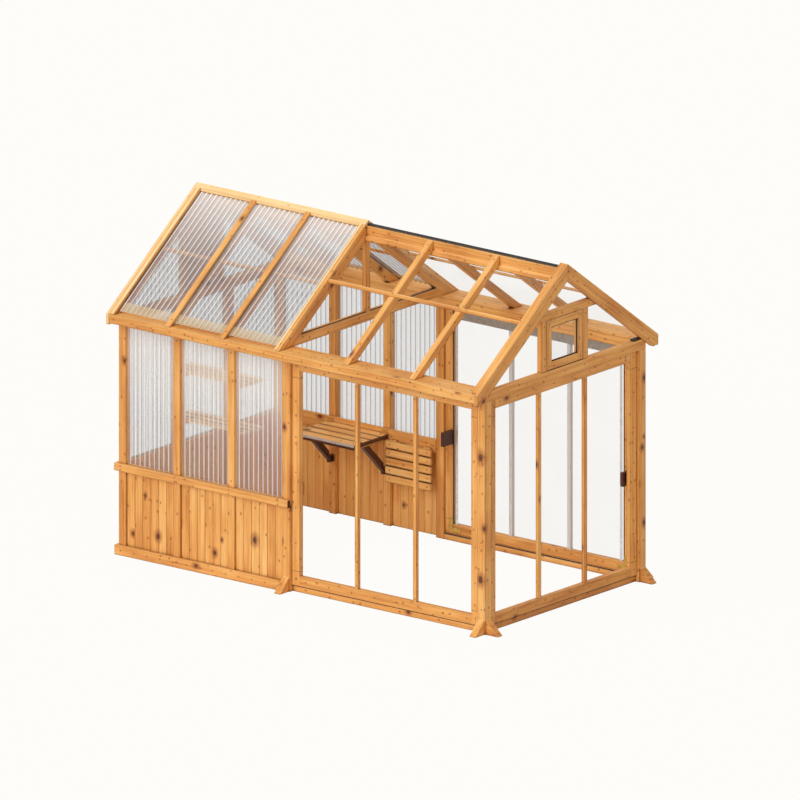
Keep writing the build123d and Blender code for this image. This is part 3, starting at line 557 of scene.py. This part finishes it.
# Slats: wider, stronger painted shade along their edges, standing for the shadows in the gaps, and no
# painted highlights.
SLAT_EDGES = {"edge_radius": 0.016, "edge_strength": 0.95, "painted_highlight_share": 0.0}
SLAT_PINE = replace(
    PINE, name="slat_pine", pale=srgb(255, 220, 154), middle=srgb(248, 188, 110),
    dark=srgb(214, 140, 70), knot_share=0.06, speck_share=0.08, **SLAT_EDGES)
CREAM_PINE = TimberFinish(
    "cream_pine", srgb(255, 230, 182), srgb(250, 214, 156), srgb(232, 182, 116),
    srgb(140, 84, 50), srgb(206, 146, 90), srgb(140, 92, 46), knot_share=0.05, speck_share=0.05)
TIER_PINE = replace(CREAM_PINE, name="tier_pine", **SLAT_EDGES)
DARK_OAK = TimberFinish(
    "dark_stain", srgb(112, 68, 40), srgb(84, 48, 28), srgb(52, 28, 17),
    srgb(30, 16, 10), srgb(52, 28, 18), srgb(26, 14, 9), knot_share=0.1, speck_share=0.05)
ROOF_SHEET = SheetFinish(
    "roof_sheet", srgb(134, 138, 148), clear_alpha=0.3, crest_alpha=0.22,
    bloom_mm=(2300.0, 2760.0), bloom_alpha=0.23, foot_mm=2060.0)
WALL_SHEET = SheetFinish(
    "wall_sheet", srgb(206, 212, 222), clear_alpha=0.12, crest_alpha=0.42, trough_alpha=0.14,
    bloom_mm=(900.0, 1700.0), bloom_alpha=0.16)
FAR_SHEET = SheetFinish("far_wall_sheet", srgb(160, 172, 190), clear_alpha=0.2, trough_alpha=0.4)
FLAT_PANE = SheetFinish("clear_pane", srgb(240, 244, 245), clear_alpha=0.05, roughness=0.05)
RUBBER = MetalFinish("black_rubber", srgb(26, 25, 24), srgb(44, 42, 40), 0.0, 0.7)
BLACK_STEEL = MetalFinish("black_steel", srgb(28, 27, 26), srgb(52, 50, 48), 0.3, 0.5)
BRASS = MetalFinish("dull_brass", srgb(214, 160, 88), srgb(188, 132, 66), 0.3, 0.45)
YELLOW_ZINC = MetalFinish("yellow_zinc", srgb(206, 164, 78), srgb(164, 120, 48), 0.7, 0.4)
ALUMINIUM = MetalFinish("pale_aluminium", srgb(226, 226, 224), srgb(196, 196, 194), 0.6, 0.4)
# Darker grey for the pane's head bar: painted shade on the back frame's top rail.
DULL_SHADED_ALUMINIUM = MetalFinish("dull_shaded_aluminium", srgb(166, 158, 148), srgb(142, 134, 124), 0.3, 0.5)
VENT_MESH = MetalFinish("vent_mesh", srgb(200, 150, 106), srgb(178, 128, 84), 0.0, 0.7, 220.0)
SCREW_BROWN = MetalFinish("screw_brown", srgb(132, 80, 44), srgb(98, 58, 32), 0.3, 0.5)


def points_of(mesh: Mesh) -> np.ndarray:
    """The mesh's points, one to a row."""
    flat = np.empty(len(mesh.vertices) * 3, np.float32)
    mesh.vertices.foreach_get("co", flat)
    return flat.reshape(-1, 3)


def write_note(mesh: Mesh, name: str, domain: str, values: np.ndarray) -> None:
    """Writes a number or a vector for each of a mesh's faces or points, for nodes to read.

    Args:
        mesh: The mesh.
        name: What they are noted under.
        domain: "FACE" or "POINT".
        values: A number, or a row of three, for each face or point.
    """
    kind, key = ("FLOAT_VECTOR", "vector") if values.ndim > 1 else ("FLOAT", "value")
    mesh.attributes.new(name, kind, domain).data.foreach_set(key, values.ravel())


class GrainReader:
    """Finds the flat faces and members of a CAD node, and the way each one's grain runs."""

    SLOPE_UP = (0.0, math.cos(ROOF_PITCH), math.sin(ROOF_PITCH))
    SLOPE_DOWN = (0.0, -math.cos(ROOF_PITCH), math.sin(ROOF_PITCH))
    RUNS = np.array([(1.0, 0.0, 0.0), (0.0, 1.0, 0.0), (0.0, 0.0, 1.0), SLOPE_UP, SLOPE_DOWN])
    WELD_STEPS = 2e4
    LEAST_AREA = 1e-12
    SAME_PLANE = 0.9995
    IN_PLANE = 0.97
    FACES_OF_AN_EDGE = 2
    SEED = 20

    def __init__(self, mesh: Mesh) -> None:
        """Reads the mesh's triangles.

        Args:
            mesh: A CAD node's mesh, of loose triangles.
        """
        self.mesh = mesh
        corners = np.empty(len(mesh.polygons) * 3, np.int32)
        mesh.loops.foreach_get("vertex_index", corners)
        self.points = points_of(mesh)[corners].reshape(-1, 3, 3).astype(float)
        first, second, third = (self.points[:, n] for n in range(3))
        normals = np.cross(second - first, third - first)
        sizes = np.linalg.norm(normals, axis=1)
        self.normals = normals / np.maximum(sizes, self.LEAST_AREA)[:, None]
        keys = np.round(self.points.reshape(-1, 3) * self.WELD_STEPS).astype(np.int64)
        self.ids = np.unique(keys, axis=0, return_inverse=True)[1].reshape(-1, 3)

    def groups(self, same_plane: bool) -> np.ndarray:
        """Numbers the triangles by what they join along shared edges.

        An edge that two members share has four triangles, and joins none of them.

        Args:
            same_plane: Join only triangles of one flat face.

        Returns:
            A group number for each triangle.
        """
        parent = list(range(len(self.ids)))

        def root(item: int) -> int:
            """The group's first triangle."""
            while parent[item] != item:
                parent[item] = parent[parent[item]]
                item = parent[item]
            return item

        edges: dict[tuple[int, int], list[int]] = {}
        for face, (a, b, c) in enumerate(self.ids.tolist()):
            for pair in ((a, b), (b, c), (c, a)):
                edges.setdefault((min(pair), max(pair)), []).append(face)
        for faces in edges.values():
            if len(faces) != self.FACES_OF_AN_EDGE:
                continue
            first, second = faces
            if not same_plane or self.normals[first] @ self.normals[second] > self.SAME_PLANE:
                parent[root(first)] = root(second)
        roots = [root(face) for face in range(len(parent))]
        return np.unique(roots, return_inverse=True)[1].reshape(-1)

    def run_of(self, faces: np.ndarray) -> np.ndarray:
        """The direction across which a flat face is narrowest, as its grain.

        Args:
            faces: The face's triangles.

        Returns:
            A unit vector along the grain.
        """
        normal = self.normals[faces[0]]
        corners = self.points[faces].reshape(-1, 3)
        widths = []
        for run in self.RUNS:
            side = np.cross(normal, run)
            size = np.linalg.norm(side)
            widths.append(np.ptp(corners @ side) / size if size > self.IN_PLANE else np.inf)
        return self.RUNS[int(np.argmin(widths))]

    def note(self, tone_by_face: bool) -> None:
        """Notes each face's "grain", and a "tone" drawn for its member from dark at 0 to pale at 1.

        Args:
            tone_by_face: Give each flat face its own tone, as for boards cut from one sheet.
        """
        flats = self.groups(same_plane=True)
        members = flats if tone_by_face else self.groups(same_plane=False)
        grain = np.zeros((len(flats), 3), np.float32)
        for group in range(flats.max() + 1):
            faces = np.flatnonzero(flats == group)
            grain[faces] = self.run_of(faces)
        draws = np.random.default_rng(self.SEED).random(members.max() + 1)
        write_note(self.mesh, "grain", "FACE", grain)
        write_note(self.mesh, "tone", "FACE", draws[members].astype(np.float32))


def note_one_grain(mesh: Mesh, run: Point, tone: float = 0.5) -> None:
    """Notes one grain direction and tone on all of a small piece's faces."""
    count = len(mesh.polygons)
    write_note(mesh, "grain", "FACE", np.full((count, 3), run, np.float32))
    write_note(mesh, "tone", "FACE", np.full(count, tone, np.float32))


def note_crests(mesh: Mesh, outward: Facing) -> None:
    """Notes a "crest" on a corrugated sheet's points: 0 in its troughs and 1 along its crests.

    Args:
        mesh: The sheets' mesh.
        outward: The way the crests look.
    """
    heights = points_of(mesh) @ np.array(outward.value, np.float32)
    write_note(mesh, "crest", "POINT", (heights - heights.min()) / np.ptp(heights))


def roof_height(y_mm: float, below_mm: float = 0.0) -> float:
    """Height in millimetres of the roof's outer plane, or of one set square below it."""
    return RIDGE_Z_MM - ROOF_RISE * abs(y_mm) - below_mm / math.cos(ROOF_PITCH)


def place_object(name: str, data: Any) -> Object:
    """Makes an object of a mesh, camera or lamp and links it to the scene."""
    thing = bpy.data.objects.new(name, data)
    bpy.context.scene.collection.objects.link(thing)
    return thing


def settle(piece: Object, body: str = "frame") -> Object:
    """Sets a piece on its body, and reports it.

    Args:
        piece: The piece, at the origin with its place in its mesh.
        body: The body it rides on.

    Returns:
        The piece.
    """
    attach(piece, body)
    LOG.info("made %s on %s", piece.name, body)
    return piece


def spaced(first: float, last: float, count: int) -> Row:
    """Evenly spaced numbers from first to last."""
    return tuple(np.linspace(first, last, count).tolist())


@dataclass(frozen=True)
class Heads:
    """Screw or nail heads on one CAD node, at each X with each Y and Z; in millimetres.

    Without heights they lie on the roof's outer plane, or on one set square below it. Those on
    both sides are mirrored across the ridge.
    """

    node: str
    facing: Facing
    xs: Row
    ys: Row
    zs: Row = ()
    below: float = 0.0
    both: bool = False

    def places(self) -> list[tuple[Vector, Vector]]:
        """Lists the heads.

        Returns:
            The place of each in metres, and the way it looks.
        """
        grid = [(x, y, z) for x in self.xs for y in self.ys
                for z in self.zs or (roof_height(y, self.below),)]
        mirrors = [Vector((1.0, side, 1.0)) for side in ((1.0, -1.0) if self.both else (1.0,))]
        way = Vector(self.facing.value)
        return [(Vector(place) * MM * mirror, way * mirror) for mirror in mirrors for place in grid]


@dataclass
class Fixings:
    """Screw heads in metres, set on the surfaces of the CAD nodes and made by Geometry Nodes."""

    radius: float = 0.0062
    height: float = 0.0016
    crown: float = 0.72
    sink: float = 0.0003
    reach: float = 0.25
    sides: int = 10
    bodies: dict[str, list[tuple[Vector, Vector]]] = field(default_factory=dict)

    INPUTS = {
        "Points": "NodeSocketGeometry", "Radius": "NodeSocketFloat", "Height": "NodeSocketFloat",
        "Finish": "NodeSocketMaterial"}

    def drop(self, heads: Sequence[Heads], frame: Table) -> None:
        """Lays heads on their nodes' surfaces.

        Args:
            heads: The heads.
        """
        for group in heads:
            node = frame["nodes"][group.node]
            corners = [v.co for v in node.data.vertices]
            faces = [tuple(p.vertices) for p in node.data.polygons]
            surface = BVHTree.FromPolygons(corners, faces)
            laid = self.bodies.setdefault(node["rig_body"], [])
            for place, way in group.places():
                hit = surface.ray_cast(place + way * self.reach, -way, 2 * self.reach)[0]
                if hit is None:
                    LOG.warning("no surface of %s under a fixing at %s", group.node, place)
                else:
                    laid.append((hit - way * self.sink, way))

    def tree(self) -> NodeTree:
        """Builds the node tree that sets a head on every point.

        Returns:
            The tree, with the inputs Points, Radius, Height and Finish.
        """
        tree = bpy.data.node_groups.new("screw_heads", "GeometryNodeTree")
        for name, kind in self.INPUTS.items():
            tree.interface.new_socket(name, in_out="INPUT", socket_type=kind)
        tree.interface.new_socket("Heads", in_out="OUTPUT", socket_type="NodeSocketGeometry")
        g = Graph(tree)
        points, radius, height, finish = g.outputs("NodeGroupInput", *self.INPUTS)
        head = g.node("GeometryNodeMeshCone", None, {
            "Vertices": self.sides, "Radius Bottom": radius, "Radius Top": radius * self.crown,
            "Depth": height}, "Mesh")
        way = g.node("GeometryNodeInputNamedAttribute", {"data_type": "FLOAT_VECTOR"},
                     {"Name": "facing"}, "Attribute")
        turn = g.node("FunctionNodeAlignRotationToVector", {"axis": "Z"}, {"Vector": way}, "Rotation")
        heads = g.node("GeometryNodeInstanceOnPoints", None,
                       {"Points": points, "Instance": head, "Rotation": turn})
        solid = g.node("GeometryNodeRealizeInstances", None, {"Geometry": heads})
        dressed = g.node("GeometryNodeSetMaterial", None, {"Geometry": solid, "Material": finish})
        g.add("NodeGroupOutput", None, {"Heads": dressed})
        return tree

    def build(self, finish: Material) -> None:
        """Makes one plain mesh of heads for each body.

        Args:
            finish: The heads' material.
        """
        tree = self.tree()
        inputs = {"Radius": self.radius, "Height": self.height, "Finish": finish}
        ids = {i.name: i.identifier for i in tree.interface.items_tree if i.in_out == "INPUT"}
        for body, heads in self.bodies.items():
            mesh = bpy.data.meshes.new(f"{body}_screw_points")
            mesh.from_pydata([place for place, _ in heads], [], [])
            write_note(mesh, "facing", "POINT", np.array([way for _, way in heads], np.float32))
            points = place_object(mesh.name, mesh)
            modifier = points.modifiers.new("screw_heads", "NODES")
            modifier.node_group = tree
            for name, value in inputs.items():
                modifier[ids[name]] = value
            ready = points.evaluated_get(bpy.context.evaluated_depsgraph_get())
            plain = bpy.data.meshes.new_from_object(ready)
            bpy.data.objects.remove(points)
            settle(place_object(f"{body}_screws", plain), body)


def extruded(name: str, outline: Sequence[Pair], axis: str, ends: Pair,
             finish: Material, ease: float = 1.0) -> Object:
    """Draws an outline out along an axis and eases its edges; all sizes are in millimetres.

    Args:
        name: The piece's name.
        outline: Points on the other two axes, in the order X, Y, Z.
        axis: "x", "y" or "z".
        ends: Low and high ends along the axis.
        finish: The piece's material.
        ease: Width of the bevel on its edges.

    Returns:
        The piece, at the origin with its place in its mesh.
    """
    slot = "xyz".index(axis)
    form = bmesh.new()
    corners = []
    for pair in outline:
        place = list(pair)
        place.insert(slot, ends[0])
        corners.append(form.verts.new(Vector(place) * MM))
    grown = bmesh.ops.extrude_face_region(form, geom=[form.faces.new(corners)])["geom"]
    step = Vector((0.0, 0.0, 0.0))
    step[slot] = (ends[1] - ends[0]) * MM
    moved = [item for item in grown if isinstance(item, bmesh.types.BMVert)]
    bmesh.ops.translate(form, vec=step, verts=moved)
    bmesh.ops.recalc_face_normals(form, faces=form.faces[:])
    bmesh.ops.bevel(form, geom=form.edges[:], offset=ease * MM, segments=BEVEL_SEGMENTS,
                    profile=ROUND_BEVEL, affect="EDGES")
    mesh = bpy.data.meshes.new(name)
    form.to_mesh(mesh)
    form.free()
    mesh.materials.append(finish)
    return place_object(name, mesh)


@dataclass(frozen=True)
class Trim:
    """A small box-shaped trim, in millimetres, with its slot and the body it rides on."""

    name: str
    low: Point
    high: Point
    slot: str
    body: str = "frame"
    ease: float = 0.4

    def build(self, finish: Material) -> Object:
        """Makes the trim as a box with eased edges.

        Args:
            finish: Its material.

        Returns:
            The piece.
        """
        (left, front, foot), (right, back, head) = self.low, self.high
        outline = [(left, front), (right, front), (right, back), (left, back)]
        piece = extruded(self.name, outline, "z", (foot, head), finish, self.ease)
        return settle(piece, self.body)


class Room:
    """The boarded room on the left: its walls' screws, black plates on its chair rails' ends that paint
    their shade, and its vent's mesh.
    """

    WALL_Y, LEFT_X = (-1000,), (-1890,)
    POST_X = (-1858, -1311.67, -763.33, -272)
    LEFT_POST_Y = (-960, -324, 324, 960)
    RAIL_Z, STUD_Z, BASE_Z = (704, 736), (800, 1850), (40,)

    HEADS = (
        Heads("chair_rails", Facing.FRONT, POST_X, WALL_Y, RAIL_Z, both=True),
        Heads("base_boards", Facing.FRONT, spaced(POST_X[0], POST_X[-1], 13), WALL_Y, BASE_Z, both=True),
        Heads("room_studs", Facing.FRONT, POST_X[1:-1], WALL_Y, STUD_Z, both=True),
        Heads("base_boards", Facing.LEFT, LEFT_X, spaced(-930, 930, 13), BASE_Z),
        Heads("chair_rails", Facing.LEFT, LEFT_X, LEFT_POST_Y, RAIL_Z))
    VENT = Trim("vent_mesh", (-1850, -224, 1968), (-1848, 224, 2438), "timber")
    TRIMS = (
        # Black plates on the chair rails' right ends: painted shade on the end grain.
        Trim("chair_rail_end_shade_front", (-170, -1037, 690), (-168, -1007, 750), "black_metal"),
        Trim("chair_rail_end_shade_back", (-170, 1007, 690), (-168, 1037, 750), "black_metal"))


class Roof:
    """Both roofs: screws of the slopes and eaves, and the cream strips on the room's end battens."""

    BATTEN_X = (-1872, -1311.67, -763.33, -210)
    RAFTER_X = (460, 1130)
    FASCIA_X, EAVE_X = spaced(-1850, 1760, 20), spaced(-120, 1690, 10)

    HEADS = (
        Heads("roof_battens", Facing.FRONT_SLOPE, BATTEN_X, ys=(-110, -1070), both=True),
        Heads("bay_rafters", Facing.FRONT_SLOPE, RAFTER_X, ys=(-75, -1040), both=True),
        Heads("purlins", Facing.FRONT_SLOPE, RAFTER_X, ys=(-505,), both=True),
        Heads("fascias", Facing.FRONT, FASCIA_X, ys=(-EAVE_Y_MM,), zs=(1954,), both=True),
        Heads("eave_boards", Facing.UP, EAVE_X, ys=(-1040,), zs=(EAVE_Z_MM,), both=True))
    STRIPS_X = {"left": (-1883, -1853), "right": (-234, -214)}
    STRIP_Y, STRIP_T, STRIP_EASE = (42, 1128), 3.0, 0.6

    def edge_strips(self, finish: Material) -> None:
        """Makes the cream strips along the room roof's end battens, on both slopes.

        Args:
            finish: The strips' material.
        """
        top, foot = self.STRIP_Y
        rise = self.STRIP_T / math.cos(ROOF_PITCH)
        for end, ends in self.STRIPS_X.items():
            for word, side in (("front", -1), ("back", 1)):
                outline = [(side * y, roof_height(y)) for y in (top, foot)]
                outline += [(side * y, roof_height(y) + rise) for y in (foot, top)]
                name = f"roof_strip_{end}_{word}"
                piece = extruded(name, outline, "x", ends, finish, self.STRIP_EASE)
                run = (0.0, side * math.cos(ROOF_PITCH), -math.sin(ROOF_PITCH))
                note_one_grain(piece.data, run)
                settle(piece)


class Gables:
    """The gables: screws of the bargeboards, tie, collar, jambs and sash, and the tie's bracket."""

    BARGE_Y, BARGE_DROP = spaced(-70, -1080, 8), 55
    TIE_X, FRAME_X = (1800,), (1795,)

    HEADS = (
        Heads("right_bargeboards", Facing.RIGHT, (1825,), BARGE_Y, below=BARGE_DROP, both=True),
        Heads("left_bargeboards", Facing.LEFT, (-1920,), BARGE_Y, below=BARGE_DROP, both=True),
        Heads("right_tie_beam", Facing.RIGHT, TIE_X, ys=spaced(-960, 960, 9), zs=(1937,)),
        Heads("gable_frame", Facing.RIGHT, FRAME_X, ys=spaced(-300, 300, 4), zs=(2425,)),
        Heads("gable_frame", Facing.RIGHT, FRAME_X, ys=(-259, 259), zs=(2030, 2350)),
        Heads("sash_frame", Facing.RIGHT, FRAME_X, ys=(-195, 195), zs=(2016, 2361)))
    BRACKET = Trim("tie_bracket", (1756, 868, 1980), (1794, 932, 1998), "black_metal", ease=3)


class Bay:
    """The open bay: screws of its frames and posts, zinc angles, dark strips that paint the shadow lines
    under its frames, and the bars round its pane.
    """

    FRONT_Y, BACK_Y, RIGHT_X = (-982,), (982,), (1775,)
    STILE_X, STILE_Z = (-130, 1680), spaced(110, 1850, 7)
    RAIL_X, RAIL_Z = spaced(-30, 1590, 8), (95, 1855)
    MULLION_X, MULLION_Z = (481, 1069), (160, 1790)

    HEADS = (
        Heads("front_frame", Facing.FRONT, STILE_X, FRONT_Y, STILE_Z),
        Heads("front_frame", Facing.FRONT, RAIL_X, FRONT_Y, RAIL_Z),
        Heads("back_frame", Facing.BACK, STILE_X, BACK_Y, STILE_Z),
        Heads("back_frame", Facing.BACK, RAIL_X, BACK_Y, RAIL_Z),
        Heads("frame_mullions", Facing.FRONT, MULLION_X, FRONT_Y, MULLION_Z, both=True),
        Heads("frame_mullions", Facing.RIGHT, RIGHT_X, (-288, 288), MULLION_Z),
        Heads("right_frame", Facing.RIGHT, RIGHT_X, (-887, 887), STILE_Z),
        Heads("right_frame", Facing.RIGHT, RIGHT_X, spaced(-790, 790, 8), RAIL_Z),
        Heads("bay_posts", Facing.FRONT, (1760,), (-1007,), spaced(200, 1840, 4)))
    # Grey bar on the back frame's top rail, standing for the rail seen through the milky pane; its
    # darker tone is painted shade.
    HEAD_BAR = Trim("pane_head_bar", (-88, 942.5, 1817), (1638, 946, 1890), "edge_aluminium")
    TRIMS = (
        # Dark rubber strips along the ground rails under the frames: painted shadow lines.
        Trim("rail_shadow_strip_front", (-170, -969.2, 45), (1720, -968, 49), "seal_rubber"),
        Trim("rail_shadow_strip_right", (1761, -927, 45), (1762.2, 927, 49), "seal_rubber"),
        Trim("rail_shadow_strip_back", (-170, 926.8, 44), (1720, 928, 55), "seal_rubber"),
        Trim("pane_side_bar_left", (-64, 942.5, 138), (-42, 946, 1817), "edge_aluminium"),
        Trim("pane_side_bar_right", (1592, 942.5, 138), (1614, 946, 1817), "edge_aluminium"))
    ANGLE_LEG, ANGLE_W = 112.0, 38.0
    ANGLE_X, ANGLE_Y, ANGLE_Z = (-126, 1676), (938, 942), 72.0

    def corner_angles(self, finish: Material) -> None:
        """Makes the two flat zinc angles on the inner face of the back frame's lower corners.

        Args:
            finish: The angles' material.
        """
        low, band, top = (self.ANGLE_Z + size for size in (0.0, self.ANGLE_W, self.ANGLE_LEG))
        for word, x, way in (("left", self.ANGLE_X[0], 1), ("right", self.ANGLE_X[1], -1)):
            arm, inner = x + way * self.ANGLE_LEG, x + way * self.ANGLE_W
            outline = [(x, low), (arm, low), (arm, band), (inner, band), (inner, top), (x, top)]
            settle(extruded(f"corner_angle_{word}", outline, "y", self.ANGLE_Y, finish))


class Inside:
    """Screws of the ledger and shelves, the bench's dark strips and the plate low on the back wall."""

    LEDGER_X, BENCH_X, HANGING_X = spaced(-1300, -300, 6), (-1300, -775), (-680, -298)

    HEADS = (
        Heads("back_ledger", Facing.FRONT, LEDGER_X, ys=(925,), zs=(745,)),
        Heads("bench_shelf", Facing.UP, BENCH_X, ys=spaced(539, 877, 4), zs=(760,)),
        Heads("hanging_shelf", Facing.FRONT, HANGING_X, ys=(872,), zs=spaced(415, 695, 5)))
    TRIMS = (
        Trim("bench_front_strip", (-1346.7, 490.8, 720), (-728.3, 493, 741.5), "dark_timber", "bench"),
        Trim("bench_end_strip", (-728.3, 493, 728), (-726.2, 912, 759), "dark_timber", "bench"),
        Trim("wall_cover_plate", (-1670, 969, 90), (-1620, 976, 195), "timber", ease=2))


Finish = TimberFinish | SheetFinish | MetalFinish


class Dresser:
    """Gives every CAD node its finish, by its name or else by its material slot."""

    BY_NAME = {
        "front_knee_boards": PINE_BOARDS, "left_knee_boards": PINE_BOARDS,
        "back_knee_boards": BACK_BOARDS, "bench_shelf": SLAT_PINE, "hanging_shelf": SLAT_PINE,
        "tier_shelves": TIER_PINE, "front_frame": FRAME_PINE, "back_frame": FRAME_PINE,
        "right_frame": FRAME_PINE, "ridge_caps": CREAM_PINE, "left_bargeboards": CREAM_PINE,
        "bay_posts": POST_PINE, "frame_mullions": MULLION_PINE, "front_roof_sheets": ROOF_SHEET,
        "back_roof_sheets": ROOF_SHEET, "front_wall_sheets": WALL_SHEET,
        "back_wall_sheets": FAR_SHEET, "left_wall_sheets": FAR_SHEET, "gable_sheets": FAR_SHEET}
    BY_SLOT = {
        "timber": PINE, "dark_timber": DARK_OAK, "clear_sheet": FLAT_PANE, "seal_rubber": RUBBER,
        "hinge_steel": BRASS, "black_metal": BLACK_STEEL, "edge_aluminium": ALUMINIUM}
    CRESTS = {
        "front_roof_sheets": Facing.FRONT_SLOPE, "back_roof_sheets": Facing.BACK_SLOPE,
        "front_wall_sheets": Facing.FRONT, "back_wall_sheets": Facing.BACK,
        "left_wall_sheets": Facing.LEFT, "gable_sheets": Facing.LEFT}
    BOARDED = (PINE_BOARDS, BACK_BOARDS)

    def __init__(self) -> None:
        """Starts with no material made."""
        self.made: dict[str, Material] = {}

    def material(self, finish: Finish) -> Material:
        """A finish's material, made on its first use."""
        if finish.name not in self.made:
            self.made[finish.name] = finish.make()
        return self.made[finish.name]

    def dress(self, frame: Table) -> None:
        """Notes the grain or crests on each node and fills its material slots.
        """
        slots = {row["node"]: row["material_slot"] for row in frame["record"]["subparts"]}
        for name, node in frame["nodes"].items():
            finish = self.BY_NAME.get(name, self.BY_SLOT[slots[name]])
            if isinstance(finish, TimberFinish):
                GrainReader(node.data).note(tone_by_face=finish in self.BOARDED)
            if name in self.CRESTS:
                note_crests(node.data, self.CRESTS[name])
            if not node.material_slots:
                node.data.materials.append(self.material(finish))
            for slot in node.material_slots:
                slot.material = self.material(finish)
            node.visible_shadow = slots[name] != "clear_sheet"
            LOG.info("dressed %s in %s", name, finish.name)


@dataclass(frozen=True)
class Lamp:
    """A broad soft sun, with the direction in which its light travels."""

    name: str
    energy: float
    way: Point
    colour: Point = (1.0, 1.0, 1.0)
    spread_deg: float = 50.0

    def build(self) -> None:
        """Adds the lamp to the scene."""
        data = bpy.data.lights.new(self.name, "SUN")
        data.energy = self.energy
        data.angle = math.radians(self.spread_deg)
        data.color = self.colour
        lamp = place_object(self.name, data)
        lamp.rotation_euler = Vector(self.way).to_track_quat("-Z", "Y").to_euler()


class Studio:
    """Floor, world, lamps and the camera at the picture's viewing angle."""

    AZIMUTH_DEG, ELEVATION_DEG = 38.8, 16.0
    WIDTH, DISTANCE, CLIP_END = 6.29, 16.0, 200.0
    MIDDLE_RIGHT, MIDDLE_UP = 0.1024, 1.322
    PAPER = srgb(255, 254, 251)
    SKY, SKY_COLOUR = 0.25, (1.0, 0.93, 0.84, 1.0)
    FLOOR_RADIUS, FLOOR_SIDES = 40.0, 96
    FLOOR_COLOUR, FLOOR_PAPER = (0.8, 0.78, 0.75, 1.0), 0.96
    LAMPS = (
        Lamp("key", 1.4, (0.2, 0.83, -0.5), (0.957, 0.98, 1.0)),
        Lamp("fill", 0.9, (-0.6, 0.75, -0.2), (1.0, 0.8, 0.61)),
        Lamp("top", 1.06, (0.0, 0.05, -1.0)))

    def camera(self) -> None:
        """Sets an orthographic camera that looks at the front and right-hand sides."""
        data = bpy.data.cameras.new("camera")
        data.type = "ORTHO"
        data.ortho_scale = self.WIDTH
        data.clip_end = self.CLIP_END
        view = place_object("camera", data)
        turn = Euler((math.radians(90.0 - self.ELEVATION_DEG), 0.0, math.radians(self.AZIMUTH_DEG)))
        view.rotation_euler = turn
        view.location = turn.to_matrix() @ Vector((self.MIDDLE_RIGHT, self.MIDDLE_UP, self.DISTANCE))
        bpy.context.scene.camera = view

    def seen(self, g: Graph) -> Value:
        """One for rays that look at the background, straight or through metal and glass."""
        straight, mirrored, through = g.outputs(
            "ShaderNodeLightPath", "Is Camera Ray", "Is Glossy Ray", "Is Transmission Ray")
        return straight.most(mirrored).most(through)

    def world(self) -> None:
        """Sets a white backdrop to look at, and an even sky to light by."""
        world = bpy.data.worlds.new("studio")
        bpy.context.scene.world = world
        world.use_nodes = True
        g = Graph(world.node_tree)
        sky = g.node("ShaderNodeBackground", None, {"Color": self.SKY_COLOUR, "Strength": self.SKY})
        white = g.node("ShaderNodeBackground", None, {"Color": self.PAPER})
        both = g.node("ShaderNodeMixShader", None, {0: self.seen(g), 1: sky, 2: white})
        g.add("ShaderNodeOutputWorld", None, {"Surface": both})

    def floor(self) -> None:
        """Lays a pale floor that takes a soft shadow."""
        form = bmesh.new()
        bmesh.ops.create_circle(
            form, cap_ends=True, segments=self.FLOOR_SIDES, radius=self.FLOOR_RADIUS)
        mesh = bpy.data.meshes.new("floor")
        form.to_mesh(mesh)
        form.free()
        floor = place_object("floor", mesh)
        material = bpy.data.materials.new("pale_floor")
        material.use_nodes = True
        g = Graph(material.node_tree)
        matt = g.node("ShaderNodeBsdfDiffuse", None, {"Color": self.FLOOR_COLOUR})
        white = g.node("ShaderNodeEmission", None, {"Color": self.PAPER})
        share = self.seen(g) * self.FLOOR_PAPER
        both = g.node("ShaderNodeMixShader", None, {0: share, 1: matt, 2: white})
        g.add("ShaderNodeOutputMaterial", None, {"Surface": both})
        mesh.materials.append(material)

    def build(self) -> None:
        """Sets up all of it."""
        bpy.context.scene.view_settings.view_transform = "Standard"
        self.world()
        self.floor()
        for lamp in self.LAMPS:
            lamp.build()
        self.camera()


def main() -> None:
    """Clears the scene and builds the looks in order."""
    logging.basicConfig(level=logging.INFO)
    for thing in list(bpy.data.objects):
        bpy.data.objects.remove(thing)
    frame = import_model()
    dresser = Dresser()
    dresser.dress(frame)
    room, roof, gables, bay, inside = Room(), Roof(), Gables(), Bay(), Inside()
    fixings = Fixings()
    for part in (room, roof, gables, bay, inside):
        fixings.drop(part.HEADS, frame)
    fixings.build(dresser.material(SCREW_BROWN))
    gables.BRACKET.build(dresser.material(BLACK_STEEL))
    roof.edge_strips(dresser.material(CREAM_PINE))
    bay.corner_angles(dresser.material(YELLOW_ZINC))
    room.VENT.build(dresser.material(VENT_MESH))
    bay.HEAD_BAR.build(dresser.material(DULL_SHADED_ALUMINIUM))
    for trim in room.TRIMS + bay.TRIMS + inside.TRIMS:
        piece = trim.build(dresser.material(dresser.BY_SLOT[trim.slot]))
        note_one_grain(piece.data, Facing.UP.value)
    Studio().build()


if __name__ == "__main__":
    main()
